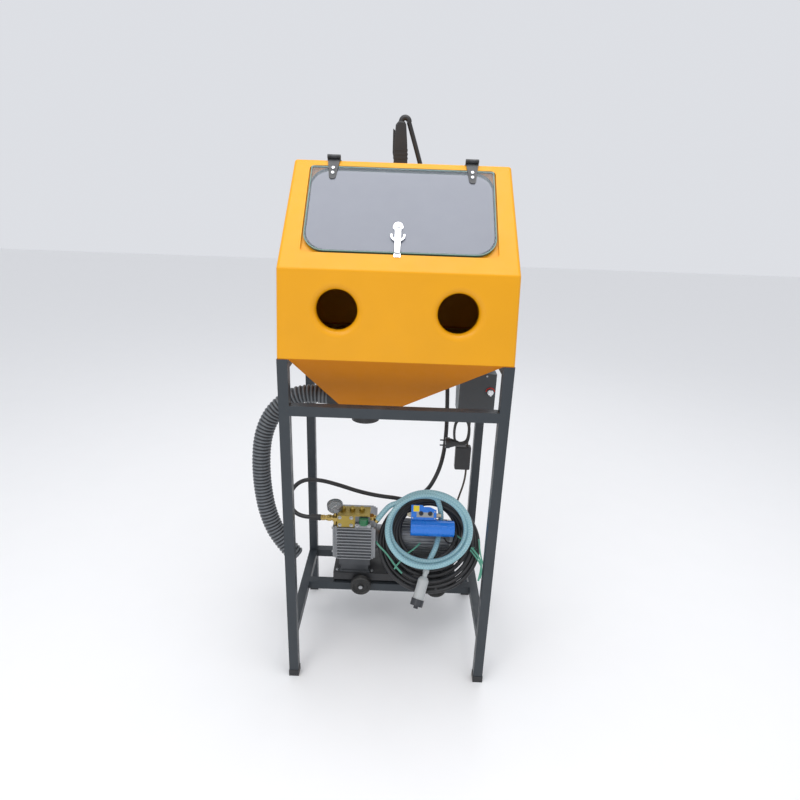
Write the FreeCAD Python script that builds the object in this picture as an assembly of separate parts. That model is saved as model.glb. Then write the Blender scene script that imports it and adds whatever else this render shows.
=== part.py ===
"""Wet-blast cabinet on a square-tube stand, with its pump set and hoses.

Millimetres, +Z up, +X to the operator's right. While drawing, Y runs back from the
front face of the front legs; save() then moves everything so that the origin is on
the floor at the centre of the cabinet's overall box.
"""
import FreeCAD, Part
import math
import os

V = FreeCAD.Vector

# ---- driving dimensions -------------------------------------------------------
STAND_WIDTH = 650.0
STAND_DEPTH = 475.0
STAND_HEIGHT = 1110.0
TUBE = 30.0
TUBE_WALL = 2.0
FOOT_WIDTH = 33.0
FOOT_HEIGHT = 24.0
FOOT_FLOOR = 5.0
KNEE_RAIL_TOP = 975.0
SHELF_TOP = 193.0
SHELF_FRONT_Y = 247.0

FLANGE = 3.0
PANEL_HEIGHT = 242.0
CABINET_TOP = 1625.0
SLOPE_DEPTH = 255.0
SIDE_DRAFT = 0.035
SHELL_WALL = 5.0
SHELL_CORNER = 9.0
ARM_HOLE_X = 162.0
ARM_HOLE_Z = 1248.0
ARM_HOLE_R = 55.0
ARM_DISH_R = 74.0
ARM_DISH_DEPTH = 16.0

LID_WIDTH = 512.0
LID_LOW = 58.0
LID_HIGH = 348.0
LID_CORNER = 58.0
LID_TOP_CORNER = 5.0
LID_THICK = 5.0
RECESS_GAP = 5.0
RECESS_DEPTH = 8.0
SEAL_THICK = 5.0
SEAL_WIDTH = 16.0
GLASS_OFF = 2.2

HINGE_X = 195.0
HINGE_V = 378.0
HINGE_OFF = 8.2
HINGE_WIDTH = 37.0
LATCH_X = -6.0
LATCH_V = 141.0

HOPPER_OUT_X = -95.0
HOPPER_OUT_Y = 233.0
HOPPER_OUT = 87.0
HOPPER_BOTTOM = 880.0
HOPPER_WALL = 4.0

DRAIN_BORE = 44.0
DRAIN_HOSE_D = 60.0
PRESSURE_HOSE_D = 15.0
SUCTION_HOSE_D = 19.0
MAINS_CORD_D = 8.0
PUMP_CORD_D = 7.0
CAPACITOR_LEAD_D = 6.0

MOTOR_Y = 350.0
MOTOR_Z = 330.0
MOTOR_R = 70.0
MOTOR_X0 = 2.0
MOTOR_X1 = 262.0
LEAN = 60.0
WHEEL_R = 37.0
WHEEL_WIDTH = 23.0
AXLE_Z = 200.0
DECK_TOP = 235.0
REAR_OVERHANG = 50.0

BASE_Z = STAND_HEIGHT + FLANGE
CREASE_Z = BASE_Z + PANEL_HEIGHT
SLOPE_RISE = CABINET_TOP - CREASE_Z
SLOPE = math.hypot(SLOPE_DEPTH, SLOPE_RISE)
HALF = STAND_WIDTH / 2
BOX_FRONT = -(FOOT_WIDTH - TUBE) / 2
BOX_BACK = STAND_DEPTH + REAR_OVERHANG
CENTRE_Y = (BOX_FRONT + BOX_BACK) / 2

# local frames: the sloped front of the cabinet, and the plane the hose coils lean on
SLOPE_UP = V(0, SLOPE_DEPTH / SLOPE, SLOPE_RISE / SLOPE)
SLOPE_OUT = V(0, -SLOPE_RISE / SLOPE, SLOPE_DEPTH / SLOPE)
SLOPE_ORIGIN = V(0, 0, CREASE_Z)
LEAN_UP = V(0, math.cos(math.radians(LEAN)), math.sin(math.radians(LEAN)))
LEAN_OUT = V(0, -math.sin(math.radians(LEAN)), math.cos(math.radians(LEAN)))
LEAN_ORIGIN = V(0, MOTOR_Y, MOTOR_Z)

DRAIN_START_X = -216.0
DRAIN_ROUTE = [(DRAIN_START_X, 233, 930), (-286, 232, 936), (-350, 229, 910), (-400, 223, 858),
               (-429, 217, 786), (-438, 210, 700), (-436, 206, 600), (-420, 199, 500), (-382, 190, 414),
               (-326, 184, 350)]
BOX_X0 = 206.0
BOX_X1 = 322.0
BOX_Y0 = 252.0
BOX_Y1 = 392.0
BOX_Z0 = 866.0
BOX_Z1 = 1012.0
SWITCH = (305.0, 952.0)
GLANDS = ((232.0, 300.0), (258.0, 337.0))
GLAND_DROP = 18.0
HANK_LOW = (198.0, 287.0, 742.0)
HANK_HIGH = (262.0, 313.0, BOX_Z0 - GLAND_DROP)
PLUG = (176.0, 300.0, 746.0)
ADAPTER_LOW = (216.0, 322.0, 632.0)
ADAPTER_HIGH = (270.0, 352.0, 720.0)
PUMP_CORD_ROUTE = [(258, 337, 848), (260, 338, 806), (256, 337, 762), (257, 338, 706), (259, 338, 650),
                   (259, 341, 596), (253, 352, 547), (244, 366, 500), (238, 376, 458), (236, 378, 420)]
MOTOR_GLAND = (236.0, 378.0, 420.0)
DECK_X0 = -207.0
DECK_X1 = 240.0
DECK_Y0 = 250.0
DECK_Y1 = 470.0
AXLE_XS = (-104.0, 170.0)
AXLE_R = 4.0
FRONT_WHEEL_Y = 217.0
REAR_WHEEL_Y = 480.0
CLEAR = 0.05
PUMP_X0 = -200.0
PUMP_X1 = -62.0
PUMP_Y0 = 240.0
PUMP_Y1 = 400.0
PUMP_Z0 = 300.0
PUMP_Z1 = 432.0
PORT_Y = 262.0
PORT_Z = 457.0
FIN_DEPTH = 8.0
HEAD_TOP = 478.0
GAUGE = V(-199, PORT_Y, PORT_Z + 22)
GAUGE_TILT = 15.0
GAUGE_R = 28.0
FAN_COVER_X = 214.0
SHAFT_R = 8.0
HEAD_X0 = 69.0
HEAD_X1 = 158.0
HEAD_S0 = 70.0
HEAD_S1 = 121.0
HEAD_N0 = 114.0
HEAD_N1 = 150.0
CAP_S = 42.0
CAP_N = 142.0
CAP_R = 28.0
BUTTONS = ((104.0, "start_button"), (136.0, "stop_button"))
BUTTON_S = 92.0
BUTTON_R = 5.0
PRESSURE_LEAD = [(-285, 262, 457), (-328, 262, 457), (-367, 288, 486), (-367, 326, 528), (-328, 352, 557),
                 (-264, 355, 556), (-194, 352, 539), (-122, 350, 516), (-48, 350, 501), (24, 346, 497),
                 (88, 342, 499)]
PRESSURE_RISER = [(100, 341, 506), (124, 346, 532), (148, 356, 568), (170, 380, 612), (184, 412, 664),
                  (190, 446, 728), (190, 474, 804), (187, 490, 886), (181, 497, 976), (175, 499, 1076),
                  (164, 500, 1184), (147, 501, 1292), (124, 502, 1396), (97, 501, 1492), (70, 500, 1580),
                  (46, 500, 1658), (12, 500, 1757)]
COIL_X = 136.0
COIL_OUT_X = 142.0
COIL_OUT = (194.0, 173.0, -21.0)
COIL_IN = (88.0, 88.0, 36.0)
COIL_N0 = 72.0
COIL_N1 = 112.0
SUCTION_X = 133.0
SUCTION_S = 48.0
SUCTION_OUT = 145.0
SUCTION_IN = 113.0
SUCTION_N0 = 140.0
SUCTION_N1 = 174.0
SUCTION_LEAD_LEAN = [(-50, 64, 139), (-30, 92, 144), (-6, 118, 149), (22, 140, 154)]
SUCTION_TAIL_LEAN = [(128, 178, 154), (154, 156, 141), (171, 122, 128), (178, 86, 111), (177, 46, 99),
                     (170, 6, 101), (159, -31, 119), (138, -68, 129), (129, -101, 132)]
STRAINER_END_LEAN = (93, -230, 144)
LEAD_LEAN = [(222, 36, 142), (233, 20, 142), (229, 0, 134), (213, -10, 121), (201, -7, 104), (196, 1, 88),
             (195, 4, 71)]
GUN_Y = 500.0
GRIP_TOP = 1757.0
BARREL_Z = 1578.0


# ---- helpers ------------------------------------------------------------------
def save(node, shape):
    """Write one node, moved so that the overall box is centred on the origin."""
    moved = shape.copy()
    moved.translate(V(0, -CENTRE_Y, 0))
    if not moved.isValid():
        print("NOT VALID:", node)
    moved.exportStep("parts/" + node + ".step")


def box(low, high):
    return Part.makeBox(high[0] - low[0], high[1] - low[1], high[2] - low[2], V(*low))


def rod(start, end, radius):
    """Cylinder between two points."""
    start = V(*start)
    along = V(*end) - start
    return Part.makeCylinder(radius, along.Length, start, along)


def cone(start, end, r_start, r_end):
    start = V(*start)
    along = V(*end) - start
    return Part.makeCone(r_start, r_end, along.Length, start, along)


def fuse(shapes):
    return shapes[0].multiFuse(shapes[1:]).removeSplitter()


def group(shapes):
    return Part.makeCompound(shapes)


def prism(points, along):
    """Closed outline of 3-D points, pushed along a vector."""
    corners = [V(*p) for p in points]
    wire = Part.makePolygon(corners + [corners[0]])
    return Part.Face(wire).extrude(V(*along))


def place(shape, origin, up, out):
    """Lay a shape drawn in local X, Y (up the plane), Z (out of it) onto a plane."""
    placed = shape.copy()
    placed.Placement = FreeCAD.Placement(origin, FreeCAD.Rotation(V(1, 0, 0), up, out, "XYZ"))
    return placed


def on_slope(shape):
    return place(shape, SLOPE_ORIGIN, SLOPE_UP, SLOPE_OUT)


def on_lean(shape):
    return place(shape, LEAN_ORIGIN, LEAN_UP, LEAN_OUT)


def slope_point(x, v, off):
    return SLOPE_ORIGIN + V(x, 0, 0) + SLOPE_UP * v + SLOPE_OUT * off


def lean_point(x, s, n):
    return LEAN_ORIGIN + V(x, 0, 0) + LEAN_UP * s + LEAN_OUT * n


def round_plate(x0, x1, y0, y1, z0, z1, radius):
    """Flat plate with rounded corners, drawn flat."""
    plate = box((x0, y0, z0), (x1, y1, z1))
    upright = [e for e in plate.Edges if abs(e.tangentAt(e.FirstParameter).z) > 0.9]
    return plate.makeFillet(radius, upright)


def square_tube(low, high, axis):
    """Hollow square tube along axis 0, 1 or 2."""
    inner_low = [c + TUBE_WALL for c in low]
    inner_high = [c - TUBE_WALL for c in high]
    inner_low[axis] = low[axis] - 1
    inner_high[axis] = high[axis] + 1
    return box(low, high).cut(box(inner_low, inner_high))


def corner_tangents(points, share):
    """Where each corner's arc starts, tops out and ends, and its radius."""
    corners = []
    for before, corner, after in zip(points, points[1:], points[2:]):
        back = before - corner
        ahead = after - corner
        reach = share * min(back.Length, ahead.Length)
        half_turn = (math.pi - back.getAngle(ahead)) / 2
        radius = reach / math.tan(half_turn)
        back.normalize()
        ahead.normalize()
        inward = back + ahead
        inward.normalize()
        middle = corner + inward * (math.hypot(reach, radius) - radius)
        corners.append((corner + back * reach, middle, corner + ahead * reach, radius))
    return corners


def hose_path(points):
    """Straight runs joined by tangent arcs."""
    points = [V(*p) for p in points]
    edges = []
    here = points[0]
    radii = []
    for start, middle, end, radius in corner_tangents(points, 0.45):
        edges.append(Part.LineSegment(here, start).toShape())
        edges.append(Part.Arc(start, middle, end).toShape())
        radii.append(radius)
        here = end
    edges.append(Part.LineSegment(here, points[-1]).toShape())
    return Part.Wire(edges), radii


def hose(node, points, diameter):
    """A round tube along a route, with its figures printed."""
    path, radii = hose_path(points)
    start = V(*points[0])
    heading = V(*points[1]) - start
    section = Part.Wire(Part.makeCircle(diameter / 2, start, heading))
    tube = path.makePipeShell([section], True, True)
    swept = math.pi * diameter ** 2 / 4 * path.Length
    print(f"{node}: length {path.Length:.0f}, volume ratio {tube.Volume / swept:.3f}")
    print("   radii / diameter:", " ".join(f"{r / diameter:.1f}" for r in radii))
    return tube


# ---- stand --------------------------------------------------------------------
def stand():
    inner = HALF - TUBE
    back = STAND_DEPTH - TUBE
    legs = []
    rails = []
    for x0 in (-HALF, inner):
        for y0 in (0, back):
            legs.append(square_tube([x0, y0, FOOT_FLOOR], [x0 + TUBE, y0 + TUBE, STAND_HEIGHT], 2))
        for top in (STAND_HEIGHT, SHELF_TOP):
            rails.append(square_tube([x0, TUBE, top - TUBE], [x0 + TUBE, back, top], 1))
    for y0, top in ((0, KNEE_RAIL_TOP), (back, STAND_HEIGHT), (SHELF_FRONT_Y, SHELF_TOP), (back, SHELF_TOP)):
        rails.append(square_tube([-inner, y0, top - TUBE], [inner, y0 + TUBE, top], 0))
    save("stand_legs", group(legs))
    save("stand_rails", group(rails))


def foot_caps():
    grow = (FOOT_WIDTH - TUBE) / 2
    caps = []
    for x0 in (-HALF, HALF - TUBE):
        for y0 in (0, STAND_DEPTH - TUBE):
            block = box((x0 - grow, y0 - grow, 0), (x0 + TUBE + grow, y0 + TUBE + grow, FOOT_HEIGHT))
            socket = box((x0, y0, FOOT_FLOOR), (x0 + TUBE, y0 + TUBE, FOOT_HEIGHT))
            caps.append(block.cut(socket))
    save("foot_caps", group(caps))


# ---- cabinet shell ------------------------------------------------------------
def side_outline(inset):
    """Side view of the shell, drawn in by an inset."""
    slope_in_y = -SLOPE_OUT.y * inset
    slope_in_z = -SLOPE_OUT.z * inset
    rise_per_y = SLOPE_RISE / SLOPE_DEPTH
    crease = CREASE_Z + slope_in_z + (inset - slope_in_y) * rise_per_y
    top = CABINET_TOP - inset
    top_y = slope_in_y + (top - CREASE_Z - slope_in_z) / rise_per_y
    back = STAND_DEPTH - inset
    bottom = BASE_Z - inset
    return [(inset, bottom), (inset, crease), (top_y, top), (back, top), (back, bottom)]


def cabinet_block(inset):
    """The shell's outside (inset 0) or its hollow (inset of one wall)."""
    outline = [(-HALF - 5, y, z) for y, z in side_outline(inset)]
    body = prism(outline, (STAND_WIDTH + 10, 0, 0))
    low = BASE_Z - 10
    high = CABINET_TOP + 10
    low_half = HALF - inset + SIDE_DRAFT * (BASE_Z - low)
    high_half = HALF - inset - SIDE_DRAFT * (high - BASE_Z)
    ends = [(-low_half, -10, low), (low_half, -10, low), (high_half, -10, high), (-high_half, -10, high)]
    return body.common(prism(ends, (0, STAND_DEPTH + 20, 0)))


def rounded_block(inset, radius):
    block = cabinet_block(inset)
    bottom = block.BoundBox.ZMin
    upper = [e for e in block.Edges if e.BoundBox.ZMax > bottom + 1]
    return block.makeFillet(radius, upper)


def recess_block(grow, depth):
    """The pressed pan that the lid lies in."""
    gap = RECESS_GAP + grow
    pan = round_plate(-LID_WIDTH / 2 - gap, LID_WIDTH / 2 + gap, LID_LOW - gap, LID_HIGH + gap,
                      -depth, 30, LID_CORNER / 4 + grow)
    return on_slope(pan)


def arm_dish(x, grow):
    """Turned plug of a dished arm hole; grow thickens it for the backing."""
    mouth = ARM_DISH_R + grow
    throat = ARM_HOLE_R + grow
    depth = ARM_DISH_DEPTH
    steps = 8
    profile = [V(0, -1, 0), V(mouth, -1, 0)]
    for i in range(steps + 1):
        turn = math.pi / 2 * i / steps
        radius = throat + (mouth - throat) * (1 - math.sin(turn))
        profile.append(V(radius, depth * (1 - math.cos(turn)) + grow, 0))
    profile.append(V(throat, depth + 30, 0))
    profile.append(V(0, depth + 30, 0))
    wire = Part.makePolygon(profile + [profile[0]])
    plug = Part.Face(wire).revolve(V(0, 0, 0), V(0, 1, 0), 360)
    plug.translate(V(x, 0, ARM_HOLE_Z))
    return plug


def window_opening():
    rim = RECESS_GAP + SEAL_WIDTH
    cut = round_plate(-LID_WIDTH / 2 + rim, LID_WIDTH / 2 - rim, LID_LOW + rim, LID_HIGH - rim,
                      -40, 20, LID_CORNER - rim)
    return on_slope(cut)


def cabinet_shell():
    outside = rounded_block(0, SHELL_CORNER).cut(recess_block(0, RECESS_DEPTH))
    hollow = rounded_block(SHELL_WALL, SHELL_CORNER - SHELL_WALL)
    hollow = hollow.cut(recess_block(SHELL_WALL, RECESS_DEPTH + SHELL_WALL))
    shell = outside.cut(hollow)
    slab = box((-HALF, 0, BASE_Z), (HALF, ARM_DISH_DEPTH + 8, CREASE_Z - 12))
    for x in (-ARM_HOLE_X, ARM_HOLE_X):
        shell = shell.fuse(arm_dish(x, 4.0).common(slab))
        shell = shell.cut(arm_dish(x, 0.0))
    shell = shell.cut(window_opening())
    save("cabinet_shell", shell.removeSplitter())


def work_grate():
    """Slotted tray that the work stands on, resting on the hopper's flange."""
    plate = box((-HALF + 33, 31, BASE_Z), (HALF - 33, STAND_DEPTH - 33, BASE_Z + 2))
    slots = []
    for column in range(-4, 5):
        for row in range(5):
            x = column * 62.0
            y = 72.0 + row * 80.0
            slots.append(round_plate(x - 24, x + 24, y - 7, y + 7, BASE_Z - 1, BASE_Z + 3, 6.5))
    ribs = [box((x - 1.5, 45, BASE_Z - 12), (x + 1.5, STAND_DEPTH - 50, BASE_Z)) for x in (-155, 0, 155)]
    save("work_grate", fuse([plate.cut(group(slots))] + ribs))


# ---- lid, hinges and latch ----------------------------------------------------
def lid_outline(inset, z0, z1):
    return round_plate(-LID_WIDTH / 2 + inset, LID_WIDTH / 2 - inset, LID_LOW + inset, LID_HIGH - inset,
                       z0, z1, LID_CORNER - inset)


def window_seal():
    bottom = -RECESS_DEPTH
    outer = lid_outline(1, bottom, bottom + SEAL_THICK)
    inner = lid_outline(1 + SEAL_WIDTH, bottom - 1, bottom + SEAL_THICK + 1)
    save("window_seal", on_slope(outer.cut(inner)))


def lid_glass():
    glass = lid_outline(0, GLASS_OFF - LID_THICK, GLASS_OFF)
    half = LID_WIDTH / 2
    top = box((-half, LID_HIGH - LID_CORNER - 1, GLASS_OFF - LID_THICK), (half, LID_HIGH, GLASS_OFF))
    upright = [e for e in top.Edges if abs(e.tangentAt(e.FirstParameter).z) > 0.9]
    corners = [e for e in upright if e.Vertexes[0].Y > LID_HIGH - 1]
    glass = glass.fuse(top.makeFillet(LID_TOP_CORNER, corners)).removeSplitter()
    for x in (-HINGE_X, HINGE_X):
        for v in (340, 322):
            glass = glass.cut(rod((x, v, -9), (x, v, 9), 2.6))
    save("lid_glass", on_slope(glass))


def hinge_strap(x):
    """Tapered strap with its rolled eye, running on the hinge pin."""
    low = 301.0
    top = HINGE_V
    wide = HINGE_WIDTH / 2
    slim = 9.0
    outline = [(x - slim, low + 6, GLASS_OFF), (x - 5, low, GLASS_OFF), (x + 5, low, GLASS_OFF),
               (x + slim, low + 6, GLASS_OFF), (x + wide - 2, top - 12, GLASS_OFF),
               (x + wide - 2, top - 7.5, GLASS_OFF), (x - wide + 2, top - 7.5, GLASS_OFF),
               (x - wide + 2, top - 12, GLASS_OFF)]
    strap = prism(outline, (0, 0, 2.4))
    tongue = box((x - 8.5, top - 9, GLASS_OFF), (x + 8.5, top, GLASS_OFF + 2.4))
    eye = rod((x - 8.5, top, HINGE_OFF), (x + 8.5, top, HINGE_OFF), 6.0)
    bore = rod((x - 20, top, HINGE_OFF), (x + 20, top, HINGE_OFF), 2.55)
    holes = [rod((x, v, 0), (x, v, 9), 2.6) for v in (340, 322)]
    return fuse([strap, tongue, eye]).cut(group([bore] + holes))


def hinge_bracket(x):
    """Fixed half: two outer eyes on a foot that is screwed to the cabinet's top."""
    pin = slope_point(x, HINGE_V, HINGE_OFF)
    half = HINGE_WIDTH / 2
    parts = [box((x - half, pin.y + 8, CABINET_TOP), (x + half, pin.y + 34, CABINET_TOP + 2.5))]
    for x0, x1 in ((x - half, x - 9), (x + 9, x + half)):
        parts.append(rod((x0, pin.y, pin.z), (x1, pin.y, pin.z), 6.0))
        parts.append(box((x0, pin.y, CABINET_TOP), (x1, pin.y + 9, pin.z)))
    bore = rod((x - half - 1, pin.y, pin.z), (x + half + 1, pin.y, pin.z), 2.5)
    screws = [rod((x + dx, pin.y + 21, CABINET_TOP - 1), (x + dx, pin.y + 21, CABINET_TOP + 4), 2.2)
              for dx in (-10, 10)]
    return fuse(parts).cut(group([bore] + screws))


def pan_head(x, y, z, radius, height, shank, depth):
    """Screw with a rounded head, drawn upright on local Z."""
    head = Part.makeCylinder(radius, height, V(x, y, z))
    top = [e for e in head.Edges if e.BoundBox.ZMin > z + height - 0.01]
    head = head.makeFillet(height * 0.6, top)
    slot = box((x - radius, y - 0.4, z + height - 0.7), (x + radius, y + 0.4, z + height + 1))
    return head.cut(slot).fuse(Part.makeCylinder(shank, depth, V(x, y, z - depth)))


def hinges():
    strap_top = GLASS_OFF + 2.4
    screws = []
    brackets = []
    straps = []
    for x in (-HINGE_X, HINGE_X):
        straps.append(on_slope(hinge_strap(x)))
        brackets.append(hinge_bracket(x))
        pin = slope_point(x, HINGE_V, HINGE_OFF)
        half = HINGE_WIDTH / 2 + 0.5
        brackets.append(rod((x - half, pin.y, pin.z), (x + half, pin.y, pin.z), 2.5))
        for v in (340, 322):
            screws.append(on_slope(pan_head(x, v, strap_top, 5.0, 2.6, 2.5, strap_top + 2.5)))
        for dx in (-10, 10):
            brackets.append(pan_head(x + dx, pin.y + 21, CABINET_TOP + 2.5, 4.2, 2.2, 2.2, 2.5))
    save("hinge_brackets", group(brackets))
    save("hinge_straps", group(straps))
    save("lid_screws", group(screws))


def latch():
    x = LATCH_X
    v = LATCH_V
    top = GLASS_OFF
    disc = Part.makeCylinder(13.5, 2.0, V(x, v, top))
    stud = Part.makeCylinder(4.0, 7.6, V(x, v, top + 2))
    nut = Part.makeCylinder(7.0, 2.4, V(x, v, top + 7.4))
    save("latch_base", on_slope(fuse([disc, stud, nut])))

    low = top + 2.2
    head = Part.makeCylinder(12.0, 5.0, V(x, v, low))
    waist = prism([(x - 8, v - 6, low), (x - 8, v - 40, low), (x - 6.5, v - 86, low),
                   (x + 6.5, v - 86, low), (x + 8, v - 40, low), (x + 8, v - 6, low)], (0, 0, 4.4))
    wings = []
    for side in (-1, 1):
        outer = Part.makeCylinder(19.5, 4.0, V(x, v - 31, low))
        inner = Part.makeCylinder(15.0, 6.0, V(x, v - 29.5, low - 1))
        reach = box((x + min(0, side * 22), v - 55, low), (x + max(0, side * 22), v - 27, low + 4))
        wings.append(outer.cut(inner).common(reach))
    lever = fuse([head, waist] + wings)
    lever = lever.cut(Part.makeCylinder(4.05, 9, V(x, v, low - 2)))
    lever = lever.cut(Part.makeCylinder(7.2, 3, V(x, v, low + 2.8)))
    save("latch_lever", on_slope(lever))

    plate = round_plate(x - 9, x + 9, v - 97, v - 84.5, 0, 2.0, 2.0)
    pad = round_plate(x - 6, x + 6, v - 95, v - 85.5, 2.0, 4.0, 1.5)
    save("latch_keeper", on_slope(plate.fuse(pad)))


# ---- hopper and drain ---------------------------------------------------------


def hopper_solid(inset, drop):
    """Off-centre pyramid from the stand's opening down to the outlet."""
    top = STAND_HEIGHT + drop
    half = HALF - TUBE - 2 - inset
    out = HOPPER_OUT / 2 - inset
    low = HOPPER_BOTTOM - drop
    upper = [V(-half, 2 + inset, top), V(half, 2 + inset, top),
             V(half, STAND_DEPTH - TUBE - 2 - inset, top), V(-half, STAND_DEPTH - TUBE - 2 - inset, top)]
    lower = [V(HOPPER_OUT_X + sx * out, HOPPER_OUT_Y + sy * out, low)
             for sx, sy in ((-1, -1), (1, -1), (1, 1), (-1, 1))]
    rings = [Part.makePolygon(ring + [ring[0]]) for ring in (lower, upper)]
    return Part.makeLoft(rings, True, True)


def drain_centre():
    """Middle of the drain hole in the hopper's left wall."""
    return V(-172, HOPPER_OUT_Y, 930)


def hopper():
    half = HALF - TUBE - 2 - HOPPER_WALL
    flange = box((-HALF + 2, 1, STAND_HEIGHT), (HALF - 2, STAND_DEPTH - 1, BASE_Z))
    mouth = box((-half, 2 + HOPPER_WALL, STAND_HEIGHT - 5),
                (half, STAND_DEPTH - TUBE - 2 - HOPPER_WALL, BASE_Z + 5))
    shell = hopper_solid(0, 0).cut(hopper_solid(HOPPER_WALL, 0.01))
    drain = drain_centre()
    hole = rod((drain.x - 60, drain.y, drain.z), (drain.x + 60, drain.y, drain.z), DRAIN_BORE / 2)
    x, y, z = HOPPER_OUT_X, HOPPER_OUT_Y, HOPPER_BOTTOM
    neck = rod((x, y, z - 14), (x, y, z), 40)
    bore = rod((x, y, z - 20), (x, y, z + 9), 36)
    pad = box((HOPPER_OUT_X - 43.5, HOPPER_OUT_Y - 43.5, HOPPER_BOTTOM - 2),
              (HOPPER_OUT_X + 43.5, HOPPER_OUT_Y + 43.5, HOPPER_BOTTOM))
    body = fuse([flange.cut(mouth), shell, pad, neck]).cut(bore)
    save("hopper", body.cut(hole))

    cap = rod((HOPPER_OUT_X, HOPPER_OUT_Y, 852), (HOPPER_OUT_X, HOPPER_OUT_Y, HOPPER_BOTTOM - 3), 45)
    socket = rod((HOPPER_OUT_X, HOPPER_OUT_Y, 857), (HOPPER_OUT_X, HOPPER_OUT_Y, HOPPER_BOTTOM), 40)
    save("drain_fittings", group([cap.cut(socket), drain_spigot()]))


def drain_spigot():
    drain = drain_centre()
    tube = rod((drain.x + 26, drain.y, drain.z), (DRAIN_START_X, drain.y, drain.z), DRAIN_BORE / 2)
    collar = rod((drain.x - 8, drain.y, drain.z), (DRAIN_START_X, drain.y, drain.z), DRAIN_HOSE_D / 2 + 3)
    outside = hopper_solid(0, 0)
    bore = rod((drain.x + 40, drain.y, drain.z), (DRAIN_START_X - 5, drain.y, drain.z), DRAIN_BORE / 2 - 4)
    inside = hopper_solid(HOPPER_WALL + 10, 0.01)
    body = fuse([tube, collar.cut(outside)]).cut(inside)
    return body.cut(bore)


def drain_hose():
    save("drain_hose", hose("drain_hose", DRAIN_ROUTE, DRAIN_HOSE_D))


# ---- control box --------------------------------------------------------------


def control_box():
    outline = [(BOX_X0, BOX_Y0, BOX_Z1), (BOX_X0, BOX_Y0, BOX_Z0), (BOX_X0, BOX_Y0 + 100, BOX_Z0),
               (BOX_X0, BOX_Y1, BOX_Z1)]
    solid = prism(outline, (BOX_X1 - BOX_X0, 0, 0))
    wall = 1.5
    inner = [(BOX_X0 + wall, BOX_Y0 - 1, BOX_Z1 - wall), (BOX_X0 + wall, BOX_Y0 - 1, BOX_Z0 + wall),
             (BOX_X0 + wall, BOX_Y0 + 98, BOX_Z0 + wall), (BOX_X0 + wall, BOX_Y1 - 3, BOX_Z1 - wall)]
    hollow = prism(inner, (BOX_X1 - BOX_X0 - 2 * wall, 0, 0))
    holes = [rod((x, y, BOX_Z0 - 5), (x, y, BOX_Z0 + 5), 6) for x, y in GLANDS]
    case = solid.cut(hollow).cut(group(holes))

    cover = box((BOX_X0, BOX_Y0 - 1.5, BOX_Z0), (BOX_X1, BOX_Y0, BOX_Z1))
    x, z = SWITCH
    cover = cover.cut(rod((x, BOX_Y0 - 5, z), (x, BOX_Y0 + 5, z), 8))

    rail = HALF - TUBE
    hanger = box((rail - 3, BOX_Y0 + 30, BOX_Z1), (rail, BOX_Y0 + 110, 1100))
    foot = box((rail - 33, BOX_Y0 + 30, BOX_Z1), (rail, BOX_Y0 + 110, BOX_Z1 + 3))
    bolts = [rod((rail - 7, BOX_Y0 + dy, 1090), (rail, BOX_Y0 + dy, 1090), 3) for dy in (45, 95)]
    save("control_box", group([case, fuse([hanger, foot] + bolts)]))

    bezel = rod((x, BOX_Y0 - 6, z), (x, BOX_Y0 - 1.5, z), 12)
    barrel = rod((x, BOX_Y0 - 2, z), (x, BOX_Y0 + 24, z), 7.8)
    bore = rod((x, BOX_Y0 - 10, z), (x, BOX_Y0 + 18, z), 5.05)
    save("control_box_cover", group([cover, fuse([bezel, barrel]).cut(bore)]))
    stem = rod((x, BOX_Y0 - 8, z), (x, BOX_Y0 + 17, z), 5.0)
    disc = rod((x, BOX_Y0 - 9.5, z), (x, BOX_Y0 - 6.2, z), 9.5)
    grip = box((x - 2.5, BOX_Y0 - 18, z - 9), (x + 2.5, BOX_Y0 - 9, z + 9))
    save("switch_knob", fuse([stem, disc, grip]))


# ---- mains cord, adapter and pump cord ----------------------------------------


def mains_hank():
    """Outer shape of the bundled mains cord, tied near its foot."""
    x = GLANDS[0][0]
    low = HANK_LOW
    high = HANK_HIGH
    outline = [(x - 12, low[1], low[2]), (x + 14, low[1], low[2]), (x + 10, low[1], low[2] + 22),
               (high[0], low[1], low[2] + 58), (x + 22, low[1], high[2] - 14), (x + 8, low[1], high[2]),
               (x - 8, low[1], high[2]), (low[0] + 8, low[1], high[2] - 14), (low[0], low[1], low[2] + 58),
               (x - 10, low[1], low[2] + 22)]
    save("mains_hank", prism(outline, (0, high[1] - low[1], 0)))


def plug_and_adapter():
    x, y, z = PLUG
    face = rod((x, y, z), (x + 14, y, z), 19)
    body = cone((x + 14, y, z), (x + 44, y, z), 17, 8)
    pins = [rod((x - 19, y, z + dz), (x, y, z + dz), 2.4) for dz in (-9.5, 9.5)]
    save("mains_plug", fuse([face, body] + pins))
    brick = box(ADAPTER_LOW, ADAPTER_HIGH)
    cord = hose("pump_cord", PUMP_CORD_ROUTE, PUMP_CORD_D)
    save("pump_cord", cord)
    save("power_adapter", brick.makeFillet(5.0, brick.Edges).cut(cord))


# ---- trolley ------------------------------------------------------------------


def trolley_base():
    deck = round_plate(DECK_X0, DECK_X1, DECK_Y0, DECK_Y1, DECK_TOP - 4, DECK_TOP, 4)
    skirts = [box((DECK_X0 + 4, y, 206), (DECK_X1 - 4, y + 3, DECK_TOP - 4)) for y in (DECK_Y0, DECK_Y1 - 3)]
    for x in (DECK_X0, DECK_X1 - 3):
        skirts.append(box((x, DECK_Y0 + 4, SHELF_TOP), (x + 3, DECK_Y1 - 4, DECK_TOP - 4)))
    parts = [fuse([deck] + skirts)]
    for x in AXLE_XS:
        for y in (279, 438):
            plate = box((x - 16, y, 190), (x + 16, y + 4, DECK_TOP - 4))
            parts.append(plate.cut(rod((x, y - 5, AXLE_Z), (x, y + 10, AXLE_Z), AXLE_R)))
    save("trolley_base", group(parts))


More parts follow.
